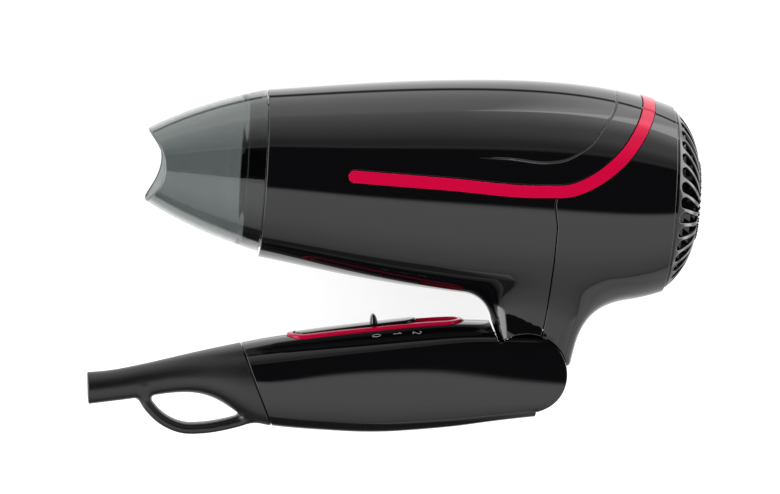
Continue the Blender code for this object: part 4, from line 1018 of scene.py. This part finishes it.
def build_shell(name, side, surface):
    """Near or far half of the grip; the far one has the screw holes."""
    rim = GRIP_RIM
    solid = oval_loft(-118.0, 22.0, 100, grip_section, grip_power, 112)
    body = even_solid(solid, grip_field, fine(1.1))
    floor = HALF_GAP + rim
    grow = TRIM_GAP + rim
    opening = stadium(TRIM_BACK - grow, TRIM_FRONT + grow, TRIM_HALF_WIDTH + grow, 120)
    cutters = [beyond_head(rim), deck_prism(opening, -6.0, 20.0)]
    if side < 0:
        for x, y in HANDLE_SCREWS:
            cutters.append(cylinder(SCREW_HOLE_RADIUS + rim, -40.0, 0.0, centre=(x, y), segments=48))
    part = skin_only(cut(body, cutters), grip_field)
    trimmed(part, (0, 0, floor * side), (0, 0, -side))
    boot_cut(part, floor, -1)

    def wall(point, normal):
        across = point[0] > SHOULDER[0][0] - 1.0 and abs(point[2]) > floor + 0.05
        if across and (math.hypot(point[0], point[1]) > HEAD_RADIUS - rim - 0.3 or point[1] > 13.0):
            return np.array([0.0, 0.0, HALF_GAP * side - (point[2] - side * rim)])
        if side < 0 and any(abs(math.hypot(point[0] - x, point[1] - y) - SCREW_HOLE_RADIUS - rim) < 0.2
                            for x, y in HANDLE_SCREWS):
            return np.array([0.0, 0.0, SCREW_FLOOR_Z - point[2]])
        return -normal * WALL_INSET

    part = rolled_rims(part, grip_field, rim, wall)
    return finished("grip_near" if side > 0 else "grip_far", thickened(part, GRIP_WALL), handle_axes(),
                    surface, "handle", [name], grip_field)


# ---------------------------------------------------------------- cord boot

BOOT_END_X = -168.2
BOOT_RIM = 0.5
BOOT_WALL = 1.4
END_LEDGE = 1.6


def build_boot(surface):
    """Cord boot with its bend relief and hang loop, open where the cord leaves."""
    taper = oval_loft(-172.0, -90.0, 70, grip_section, grip_power, 72)
    line = smooth_path(LOOP_PATH, 50)
    bar = []
    for point, way in zip(line, heading(line)):
        ring = oval_ring(0.0, 0.0, LOOP_HALF_THICK, LOOP_HALF_WIDE, LOOP_POWER, 32)
        bar.append([(point[0] - way[1] * v[1], point[1] + way[0] * v[1], v[2]) for v in ring])
    body = even_solid(joined_shapes([taper, skin(bar)]), boot_field, fine(0.8))
    bmesh.ops.recalc_face_normals(body, faces=body.faces)
    part = trimmed(trimmed(body, (BOOT_END_X + BOOT_RIM, 0, 0), (-1, 0, 0)), (-90.5, 0, 0), (1, 0, 0))
    boot_cut(part, -HALF_GAP - BOOT_RIM, 1)

    def wall(point, normal):
        return -normal * (END_LEDGE if point[0] < BOOT_END_X + 2.2 else WALL_INSET)

    part = rolled_rims(part, boot_field, BOOT_RIM, wall, 4)
    return finished("boot", thickened(part, BOOT_WALL), handle_axes(), surface, "handle",
                    ["cord_boot"], boot_field)


# ---------------------------------------------------------------- switch

TRIM_BAND = 2.2
TRIM_PROUD = 0.9
SLIDER_PROUD = 0.9
SLIDER_RISE = 0.02
FIN_HALF_WIDTH = 4.2
FIN_HEIGHT = 7.1
FIN_HALF_THICK = 1.65
FIN_LEVELS = 20
FIN_FOOT = 1.0
TRIM_ROUND = 0.5
SLIDER_ROUND = 0.6
SWITCH_POINTS = 160
QUARTER = np.linspace(0.0, math.pi / 2, 6)


def grip_height(x, z):
    """Height of the handle's upper surface."""
    ridge, wide, power = grip_ridge(x), grip_width(x), grip_power(x)
    return ridge + (grip_top(x) - ridge) * (1.0 - min(abs(z) / wide, 0.98) ** power) ** (1.0 / power)


def deck_height(u, z, proud):
    """Height above the deck of the handle's surface raised by an amount."""
    v = 3.0
    for _ in range(6):
        x, y, _z = deck_point(u, v, z)
        v += grip_height(float(x), z) + proud - y
    return v


def stacked(levels, back, front, half):
    """Solid made of slot outlines, each drawn in by an inset and set at a height."""
    rings = []
    for inset, height in levels:
        ring = []
        for u, z in stadium(back + inset, front - inset, max(half - inset, 0.02), SWITCH_POINTS):
            ring.append(deck_point(u, height(u, z) if callable(height) else height, z))
        rings.append(ring)
    return rings


def crowned(proud, drop=0.0, rise=0.0):
    """Height that follows the grip, and rises towards the front by a share of the way."""
    return lambda u, z: deck_height(u, z, proud + rise * (u - SLIDER_BACK)) - drop


def rising_edge(edge, proud, rise=0.0):
    """Levels of an outer edge, rounded over a quarter turn."""
    return [(edge * (1 - math.cos(a)), crowned(proud, edge * (1 - math.sin(a)), rise)) for a in QUARTER]


def build_trim(surface):
    """Rounded rim round the sunk floor that the slider runs over."""
    levels = [(0.0, -1.2), (0.0, 0.0)] + rising_edge(TRIM_ROUND, TRIM_PROUD)
    inner = TRIM_BAND - TRIM_ROUND
    levels += [(inner + TRIM_ROUND * math.sin(a), crowned(TRIM_PROUD, TRIM_ROUND * (1 - math.cos(a))))
               for a in QUARTER]
    levels += [(TRIM_BAND, 0.3), (TRIM_BAND + 0.3, 0.0), (TRIM_BAND + 3.0, 0.0), (TRIM_BAND + 6.0, 0.0)]
    rings = stacked(levels, TRIM_BACK, TRIM_FRONT, TRIM_HALF_WIDTH)
    return finished("trim", skin(rings), handle_axes(), surface, "handle", ["switch_trim"],
                    sharp=40.0)


def build_slider(surface):
    """Slider with its thumb fin."""
    levels = [(0.0, 0.35), (0.0, 1.0)] + rising_edge(SLIDER_ROUND, SLIDER_PROUD, SLIDER_RISE)
    levels += [(inset, crowned(SLIDER_PROUD, 0.0, SLIDER_RISE)) for inset in (1.2, 2.0, 3.0, 4.0, 5.0, 5.9)]
    plate = skin(stacked(levels, SLIDER_BACK, SLIDER_FRONT, SLIDER_HALF_WIDTH))
    both = cut(plate, [build_fin()], "UNION")
    return finished("slider", both, handle_axes(), surface, "slider", ["switch_slider"],
                    sharp=40.0)


def build_fin():
    """Thumb fin: a leaf across the slider, thick at its foot and thin at its rounded crest."""
    rings = []
    for t in np.linspace(0.0, 1.0, FIN_LEVELS):
        height = FIN_FOOT + (FIN_HEIGHT - FIN_FOOT) * math.sin(t * math.pi / 2)
        share = math.sqrt(1.0 - t ** 2.2) if t < 1.0 else 0.03
        thick = max(FIN_HALF_THICK * share * (0.8 + 0.2 * math.cos(1.6 * math.pi * (t - 0.35))), 0.05)
        wide = max(FIN_HALF_WIDTH * (0.35 + 0.65 * share) * min(1.0, share * 2.4), 0.08)
        ring = []
        for a in turns(48):
            ring.append(deck_point(thick * math.copysign(abs(math.cos(a)) ** 0.8, math.cos(a)), height,
                                   wide * math.copysign(abs(math.sin(a)) ** 0.8, math.sin(a))))
        rings.append(ring)
    return skin(rings)


DIGIT_HEIGHT = 3.1
DIGIT_HALF_WIDTH = 0.62
STROKE = 0.12
PRINT_FOOT = -0.05
PRINT_FACE = 0.03


def digit_paths():
    """Strokes of the digits, as points in a box one wide and one high."""
    zero = [(0.5 + 0.5 * math.cos(a), 0.5 + 0.5 * math.sin(a)) for a in np.linspace(0, 2 * math.pi, 28)]
    one = [(0.12, 0.74), (0.5, 1.0), (0.5, 0.0)]
    two = [(0.5 + 0.5 * math.cos(a), 0.72 + 0.28 * math.sin(a))
           for a in np.linspace(math.radians(165), math.radians(-35), 14)] + [(0.0, 0.0), (1.0, 0.0)]
    return {"0": zero, "1": one, "2": two}


def build_digits(surface):
    """Digits printed beside the slider, reading along the handle."""
    marks = []
    for name, place, down in DIGITS:
        path = []
        for across, up in digit_paths()[name]:
            path.append((place + (up - 0.5) * DIGIT_HEIGHT, down + (across - 0.5) * 2 * DIGIT_HALF_WIDTH))
        dense = []
        for first, second in zip(path, path[1:]):
            steps = max(int(math.dist(first, second) / STROKE), 1)
            dense += [(first[0] + (second[0] - first[0]) * k / steps,
                       first[1] + (second[1] - first[1]) * k / steps) for k in range(steps)]
        dense.append(path[-1])
        left = offset_line(dense, STROKE)
        right = offset_line(dense, -STROKE)
        rings = []
        for a, b in zip(left, right):
            ring = [(q[0], grip_height(float(q[0]), float(q[1])) + lift, float(q[1]))
                    for q, lift in ((a, PRINT_FOOT), (a, PRINT_FACE), (b, PRINT_FACE), (b, PRINT_FOOT))]
            rings.append(ring)
        marks.append(skin(rings))
    return finished("switch_digits", joined_shapes(marks), handle_axes(), surface, "handle")


# ---------------------------------------------------------------- finishes

def colour(hexadecimal):
    """sRGB hex to the linear values that shaders take."""
    parts = [int(hexadecimal[k:k + 2], 16) / 255 for k in (1, 3, 5)]
    return (*[v / 12.92 if v <= 0.04045 else ((v + 0.055) / 1.055) ** 2.4 for v in parts], 1.0)


def add_node(tree, kind, settings=None, inputs=None):
    """Adds a node with its settings; an input is a value, or another node's output."""
    node = tree.nodes.new(kind)
    for key, value in (settings or {}).items():
        setattr(node, key, value)
    for key, value in (inputs or {}).items():
        if isinstance(value, bpy.types.NodeSocket):
            tree.links.new(value, node.inputs[key])
        else:
            node.inputs[key].default_value = value
    return node


def finish(name, base, roughness, ior=1.5, patch=2.0, mottle=0.05, uneven=0.15, grain=None, metallic=0.0,
           transmission=0.0, tint="#FFFFFF"):
    """A finish whose colour and polish vary a little over patches of a size in mm.

    Mottle and uneven are the shares by which colour and roughness vary; grain is the size and the
    depth in mm of a fine texture, and tint the colour of the gloss seen head on.
    """
    surface = bpy.data.materials.new(name)
    surface.use_nodes = True
    tree = surface.node_tree
    shader = tree.nodes["Principled BSDF"]
    for socket, value in (("Base Color", colour(base)), ("Roughness", roughness), ("IOR", ior),
                          ("Metallic", metallic), ("Specular Tint", colour(tint)),
                          ("Transmission Weight", transmission)):
        shader.inputs[socket].default_value = value
    place = add_node(tree, "ShaderNodeTexCoord").outputs["Object"]
    cloud = add_node(tree, "ShaderNodeTexNoise", {}, {"Vector": place, "Scale": 1 / (patch * MM),
                                                      "Detail": 3.0})

    def varied(low, high):
        return add_node(tree, "ShaderNodeMapRange", {}, {
            "Value": cloud.outputs["Fac"], "From Min": 0.3, "From Max": 0.7, "To Min": low,
            "To Max": high}).outputs["Result"]

    shade = add_node(tree, "ShaderNodeVectorMath", {"operation": "SCALE"}, {
        "Vector": colour(base)[:3], "Scale": varied(1.0 - mottle, 1.0 + mottle)})
    tree.links.new(shade.outputs["Vector"], shader.inputs["Base Color"])
    polish = varied(roughness * (1.0 - uneven), roughness * (1.0 + uneven))
    tree.links.new(polish, shader.inputs["Roughness"])
    if grain:
        size, depth = grain
        dots = add_node(tree, "ShaderNodeTexNoise", {}, {"Vector": place, "Scale": 1 / (size * MM),
                                                         "Detail": 3.0, "Roughness": 0.6})
        bump = add_node(tree, "ShaderNodeBump", {}, {"Height": dots.outputs["Fac"], "Strength": 1.0,
                                                     "Distance": depth * MM})
        tree.links.new(bump.outputs["Normal"], shader.inputs["Normal"])
    return surface


def make_finishes():
    """Every finish of the dryer, by the name of the record's slot that it stands for."""
    return {
        # high-gloss moulded ABS: deep black with crisp reflections, its polish slightly uneven over
        # wide patches
        "gloss_black": finish("gloss black ABS", "#09090B", 0.05, 1.53, patch=22.0, mottle=0.04, uneven=0.2),
        # pigmented lacquer: a saturated pink-red whose softened gloss takes up the colour, finely flecked
        "raspberry": finish("raspberry lacquered ABS", "#D0003C", 0.16, 1.5, patch=0.3, mottle=0.08,
                            uneven=0.12, tint="#FF8FA8"),
        # clear SAN with a grey smoke tint: see-through, sharp in its reflections, faintly streaked
        "smoke_clear": finish("smoke tinted SAN", "#949A99", 0.02, 1.56, patch=12.0, mottle=0.012,
                              uneven=0.3, transmission=1.0),
        # flexible PVC: its fine grain breaks up the light to a satin sheen beside the gloss of the grip
        "boot_black": finish("satin black PVC", "#0E0E10", 0.36, 1.5, patch=0.8, mottle=0.08,
                             grain=(0.35, 0.006)),
        # glass-filled nylon of the parts inside: matt, with the cloudy look of its short fibres
        "dark_plastic": finish("dark glass-filled nylon", "#141416", 0.45, 1.52, patch=0.7, mottle=0.18,
                               uneven=0.2, grain=(0.4, 0.01)),
        # off-white and even, nearly matt: ink on the grip, fired ceramic on the parts inside
        "white_ceramic": finish("white print and ceramic", "#B9BABC", 0.4, patch=1.5, mottle=0.03),
        # pressed flakes of mica: buff, with lighter and darker flakes
        "mica": finish("pressed mica board", "#B7A079", 0.55, 1.56, patch=3.0, mottle=0.18, uneven=0.25),
        # green lacquer over glass cloth: the weave shows through as a fine mottle
        "circuit_board": finish("circuit board laminate", "#1D5A2E", 0.5, patch=1.0, mottle=0.12),
        # soft PVC of the leads: coloured through, with a dull sheen
        "insulation_brown": finish("brown PVC insulation", "#5A2B14", 0.45),
        "insulation_blue": finish("blue PVC insulation", "#123C8C", 0.45),
        # zinc-plated steel: grey and slightly cloudy, its reflections blurred
        "steel": finish("plated steel", "#B9B9BC", 0.3, patch=1.2, uneven=0.25, metallic=1.0),
        # bare resistance wire: a warm dull grey, darker in places from its first heating
        "heater_wire": finish("nickel-chrome wire", "#8F8780", 0.35, patch=0.9, mottle=0.15, metallic=1.0),
    }


INSIDE = {
    "dark_plastic": ("fan_duct", "impeller", "outlet_grid", "hinge_knuckle", "switch_block",
                     "suppression_capacitor"),
    "steel": ("motor", "motor_shaft", "thermostat", "hinge_pin", "friction_washer_near",
              "friction_washer_far", "handle_screw_1", "handle_screw_2", "handle_screw_3", "neck_screw"),
    "circuit_board": ("rectifier_board",),
    "mica": ("mica_board_upright", "mica_board_flat", "mica_sleeve"),
    "heater_wire": ("heating_coil",),
    "white_ceramic": ("thermal_fuse", "terminal_block"),
    "insulation_brown": ("lead_supply", "lead_live", "heater_lead_live", "motor_lead_positive"),
    "insulation_blue": ("lead_neutral", "heater_lead_neutral", "motor_lead_negative"),
}


# ---------------------------------------------------------------- stage

WHITE = (1.0, 1.0, 1.0, 1.0)
BRIGHTEST = 6.0
# Where each end card starts and is full, by the mirrored direction's share along X, with its radiance.
END_CARDS = ((0.6, 0.72, 1.25), (0.972, 0.985, 0.05), (-0.7, -0.8, 6.0))

# Degrees from straight up towards the barrel's top, with the radiance mirrored there.
LOWER_BOX = [(-180, 0.3), (-95, 0.12), (-91, 0.35), (-88, 0.55), (-80, 0.76), (-70, 0.92), (-60, 1.1),
             (-45, 1.32), (-15, 1.42), (-12.5, 1.2), (-10.5, 0.02)]
BOXES_LEFT = LOWER_BOX + [(39.5, 0.02), (41.5, 0.45), (44, 0.27), (50, 0.32), (56, 0.52), (64, 0.7),
                          (72, 0.9), (84, 1.18), (96, 1.5), (180, 1.6)]
BOXES_RIGHT = LOWER_BOX + [(39.5, 0.02), (41.5, 0.4), (46, 0.32), (52, 0.55), (58, 0.9), (70, 1.0),
                           (77, 1.45), (84, 2.1), (96, 2.8), (180, 2.9)]

# Metres across the table, less its slant along the dryer, with the radiance mirrored there.
TABLE_SLANT = 0.22
TABLE_LEFT = [(-0.5, 0.1), (-0.105, 0.05), (-0.09, 0.5), (-0.06, 1.4), (0.06, 1.2), (0.085, 1.35),
              (0.105, 1.45), (0.112, 0.06), (0.118, 0.06), (0.125, 1.5), (0.4, 1.6)]
TABLE_RIGHT = [(-0.5, 0.8), (-0.15, 0.72), (-0.06, 0.65), (0.0, 0.8), (0.06, 1.8), (0.085, 1.9),
               (0.105, 2.4), (0.112, 0.06), (0.118, 0.06), (0.125, 2.8), (0.4, 3.3)]
TABLE_END = [(-0.5, 0.9), (-0.11, 0.9), (-0.08, 4.0), (0.4, 5.0)]


def mapped(tree, value, low, high):
    """How far a value is from one end to the other, held between 0 and 1."""
    return add_node(tree, "ShaderNodeMapRange", {}, {0: value, 1: low, 2: high}).outputs[0]


def blended(tree, share, first, second):
    """One colour run over into another."""
    return add_node(tree, "ShaderNodeMix", {"data_type": "RGBA"}, {0: share, 6: first, 7: second}).outputs[2]


def grey(level):
    """Colour whose light is a radiance, once its strength is BRIGHTEST."""
    return (level / BRIGHTEST,) * 3 + (1.0,)


def graded(tree, share, stops):
    """Colour that follows (place, radiance) stops; share runs from the first place to the last."""
    low, high = stops[0][0], stops[-1][0]
    ramp = add_node(tree, "ShaderNodeValToRGB", {}, {0: share})
    band = ramp.color_ramp
    while len(band.elements) > 1:
        band.elements.remove(band.elements[-1])
    band.elements[0].position = 0.0
    band.elements[0].color = grey(stops[0][1])
    for place, level in stops[1:]:
        band.elements.new((place - low) / (high - low)).color = grey(level)
    return ramp.outputs[0]


def for_rays(tree, kind, others, these):
    """One shader for a kind of ray and another for the rest."""
    path = add_node(tree, "ShaderNodeLightPath")
    return add_node(tree, "ShaderNodeMixShader", {}, {0: path.outputs[kind], 1: others, 2: these}).outputs[0]


def build_floor(settings):
    """White table with the dryer's soft shadow.

    Gloss sees it as a lit sheet with a gap, black beside the grip and paler past the neck.
    """
    bm = bmesh.new()
    bmesh.ops.create_grid(bm, x_segments=1, y_segments=1, size=6.0)
    mesh = bpy.data.meshes.new("table")
    bm.to_mesh(mesh)
    bm.free()
    table = bpy.data.objects.new("table", mesh)
    bpy.context.scene.collection.objects.link(table)
    surface = bpy.data.materials.new("white table")
    surface.use_nodes = True
    tree = surface.node_tree
    tree.nodes.clear()
    glow = add_node(tree, "ShaderNodeEmission", {}, {"Color": WHITE, "Strength": settings.table_glow})
    paper = add_node(tree, "ShaderNodeBsdfDiffuse", {}, {"Color": (0.8, 0.8, 0.8, 1.0)})
    seen = add_node(tree, "ShaderNodeAddShader", {}, {0: glow.outputs[0], 1: paper.outputs[0]})
    place = add_node(tree, "ShaderNodeTexCoord").outputs["Object"]
    apart = add_node(tree, "ShaderNodeSeparateXYZ", {}, {0: place})
    along = apart.outputs["X"]
    slant = add_node(tree, "ShaderNodeMath", {"operation": "MULTIPLY_ADD"},
                     {0: along, 1: -TABLE_SLANT, 2: apart.outputs["Y"]}).outputs[0]
    share = mapped(tree, slant, TABLE_LEFT[0][0], TABLE_LEFT[-1][0])
    left, right, end = (graded(tree, share, stops) for stops in (TABLE_LEFT, TABLE_RIGHT, TABLE_END))
    level = blended(tree, mapped(tree, along, 0.05, 0.12), left, right)
    level = blended(tree, mapped(tree, along, 0.17, 0.21), level, end)
    mirrored = add_node(tree, "ShaderNodeEmission", {}, {"Color": level, "Strength": BRIGHTEST})
    mix = for_rays(tree, "Is Glossy Ray", seen.outputs[0], mirrored.outputs[0])
    add_node(tree, "ShaderNodeOutputMaterial", {}, {0: mix})
    mesh.materials.append(surface)


def build_studio(settings):
    """What the gloss mirrors: two long soft boxes, a card at each end and a dark room between them."""
    world = bpy.data.worlds.new("studio")
    bpy.context.scene.world = world
    world.use_nodes = True
    tree = world.node_tree
    tree.nodes.clear()
    way = add_node(tree, "ShaderNodeTexCoord").outputs["Generated"]
    apart = add_node(tree, "ShaderNodeSeparateXYZ", {}, {0: way})
    angle = add_node(tree, "ShaderNodeMath", {"operation": "ARCTAN2"}, {0: apart.outputs["Y"],
                                                                       1: apart.outputs["Z"]}).outputs[0]
    share = mapped(tree, angle, -math.pi, math.pi)
    left, right = (graded(tree, share, stops) for stops in (BOXES_LEFT, BOXES_RIGHT))
    along = apart.outputs["X"]
    seen = blended(tree, mapped(tree, along, 0.0, 0.22), left, right)
    for start, full, level in END_CARDS:
        seen = blended(tree, mapped(tree, along, start, full), seen, grey(level))

    def background(tone, strength):
        return add_node(tree, "ShaderNodeBackground", {}, {0: tone, 1: strength}).outputs[0]

    even = background(WHITE, settings.room_light)
    lit = for_rays(tree, "Is Glossy Ray", even, background(seen, BRIGHTEST))
    mix = for_rays(tree, "Is Camera Ray", lit, background(WHITE, 1.0))
    add_node(tree, "ShaderNodeOutputWorld", {}, {0: mix})


def build_camera(settings):
    """Long lens above the dryer, a little towards its top and its nozzle."""
    data = bpy.data.cameras.new("camera")
    data.sensor_width = 36.0
    data.lens = settings.lens
    data.clip_end = 20.0
    camera = bpy.data.objects.new("camera", data)
    bpy.context.scene.collection.objects.link(camera)
    tilt, lean = settings.tilt, settings.lean
    back = Vector((-math.sin(lean), math.cos(lean) * math.sin(tilt), math.cos(lean) * math.cos(tilt)))
    up = Vector((-math.sin(settings.roll), math.cos(settings.roll), 0.0))
    right = up.cross(back).normalized()
    up = back.cross(right)
    turn = Matrix((right, up, back)).transposed().to_4x4()
    target = Vector(settings.aim)
    camera.matrix_world = Matrix.Translation(target + back * settings.distance) @ turn
    bpy.context.scene.camera = camera
    bpy.context.scene.view_settings.view_transform = "Standard"


# ---------------------------------------------------------------- add-on

class DryerSettings(bpy.types.PropertyGroup):
    """What can be changed about the stage before it is built."""

    lens: FloatProperty(name="Lens", description="Focal length on a 36 mm sensor", default=344.0, min=20.0)
    distance: FloatProperty(name="Distance", description="Camera to dryer", default=2.87, min=0.2,
                            unit="LENGTH", subtype="DISTANCE")
    aim: FloatVectorProperty(name="Aim", description="Point that the camera looks at", size=3,
                             default=(-0.0018, 0.0048, 0.0389), subtype="TRANSLATION", unit="LENGTH")
    tilt: FloatProperty(name="Tilt", description="Camera's lean towards the barrel's top",
                        default=math.radians(7.2), subtype="ANGLE", unit="ROTATION")
    lean: FloatProperty(name="Lean", description="Camera's lean towards the nozzle",
                        default=math.radians(4.2), subtype="ANGLE", unit="ROTATION")
    roll: FloatProperty(name="Roll", description="How far the picture is turned", default=math.radians(3.84),
                        subtype="ANGLE", unit="ROTATION")
    room_light: FloatProperty(name="Room light", description="Even light on surfaces that aren't glossy",
                              default=1.0, min=0.0)
    table_glow: FloatProperty(name="Table glow", description="Light that the table gives by itself",
                              default=0.68, min=0.0)


MADE = {}


def finish_for(slot):
    """A finish that is already made, or all of them made first."""
    if not MADE:
        MADE.update(make_finishes())
    return MADE[slot]


class DRYER_OT_casings(bpy.types.Operator):
    """Build the barrel: both casings and the trim ribbon"""

    bl_idname = "dryer.casings"
    bl_label = "Barrel casings"

    def execute(self, context):
        build_casing("front_casing", False, finish_for("gloss_black"))
        build_casing("rear_casing", True, finish_for("gloss_black"))
        build_ribbon(finish_for("raspberry"))
        return {"FINISHED"}


class DRYER_OT_nozzle(bpy.types.Operator):
    """Build the clear nozzle"""

    bl_idname = "dryer.nozzle"
    bl_label = "Nozzle"

    def execute(self, context):
        build_nozzle(finish_for("smoke_clear"))
        return {"FINISHED"}


class DRYER_OT_grille(bpy.types.Operator):
    """Build the air intake grille"""

    bl_idname = "dryer.grille"
    bl_label = "Intake grille"

    def execute(self, context):
        build_grille(finish_for("gloss_black"))
        return {"FINISHED"}


class DRYER_OT_handle(bpy.types.Operator):
    """Build the handle shells and the cord boot"""

    bl_idname = "dryer.handle"
    bl_label = "Handle and boot"

    def execute(self, context):
        build_shell("handle_shell_near", 1, finish_for("gloss_black"))
        build_shell("handle_shell_far", -1, finish_for("gloss_black"))
        build_boot(finish_for("boot_black"))
        return {"FINISHED"}


class DRYER_OT_switch(bpy.types.Operator):
    """Build the switch trim, the slider and the digits"""

    bl_idname = "dryer.switch"
    bl_label = "Switch"

    def execute(self, context):
        build_trim(finish_for("raspberry"))
        build_slider(finish_for("gloss_black"))
        build_digits(finish_for("white_ceramic"))
        return {"FINISHED"}


class DRYER_OT_inside(bpy.types.Operator):
    """Give the parts inside their finishes"""

    bl_idname = "dryer.inside"
    bl_label = "Parts inside"

    def execute(self, context):
        for slot, nodes in INSIDE.items():
            for node in nodes:
                piece = frame["nodes"][node]
                piece.data.materials.clear()
                piece.data.materials.append(finish_for(slot))
        return {"FINISHED"}


class DRYER_OT_stage(bpy.types.Operator):
    """Build the table, the soft boxes and the camera"""

    bl_idname = "dryer.stage"
    bl_label = "Stage"

    def execute(self, context):
        settings = context.scene.dryer
        build_floor(settings)
        build_studio(settings)
        build_camera(settings)
        return {"FINISHED"}


OPERATORS = (DRYER_OT_casings, DRYER_OT_nozzle, DRYER_OT_grille, DRYER_OT_handle, DRYER_OT_switch,
             DRYER_OT_inside, DRYER_OT_stage)


class DRYER_PT_panel(bpy.types.Panel):
    """Hair dryer controls"""

    bl_label = "Hair dryer"
    bl_idname = "DRYER_PT_panel"
    bl_space_type = "VIEW_3D"
    bl_region_type = "UI"
    bl_category = "Hair dryer"

    def draw(self, context):
        settings = context.scene.dryer
        for name in DryerSettings.__annotations__:
            self.layout.prop(settings, name)
        for operator in OPERATORS:
            self.layout.operator(operator.bl_idname)


def register():
    for cls in (DryerSettings, *OPERATORS, DRYER_PT_panel):
        bpy.utils.register_class(cls)
    bpy.types.Scene.dryer = PointerProperty(type=DryerSettings)


def unregister():
    del bpy.types.Scene.dryer
    for cls in reversed((DryerSettings, *OPERATORS, DRYER_PT_panel)):
        bpy.utils.unregister_class(cls)


def main():
    register()
    for step in ("casings", "nozzle", "grille", "handle", "switch", "inside", "stage"):
        getattr(bpy.ops.dryer, step)()


if __name__ == "__main__":
    main()
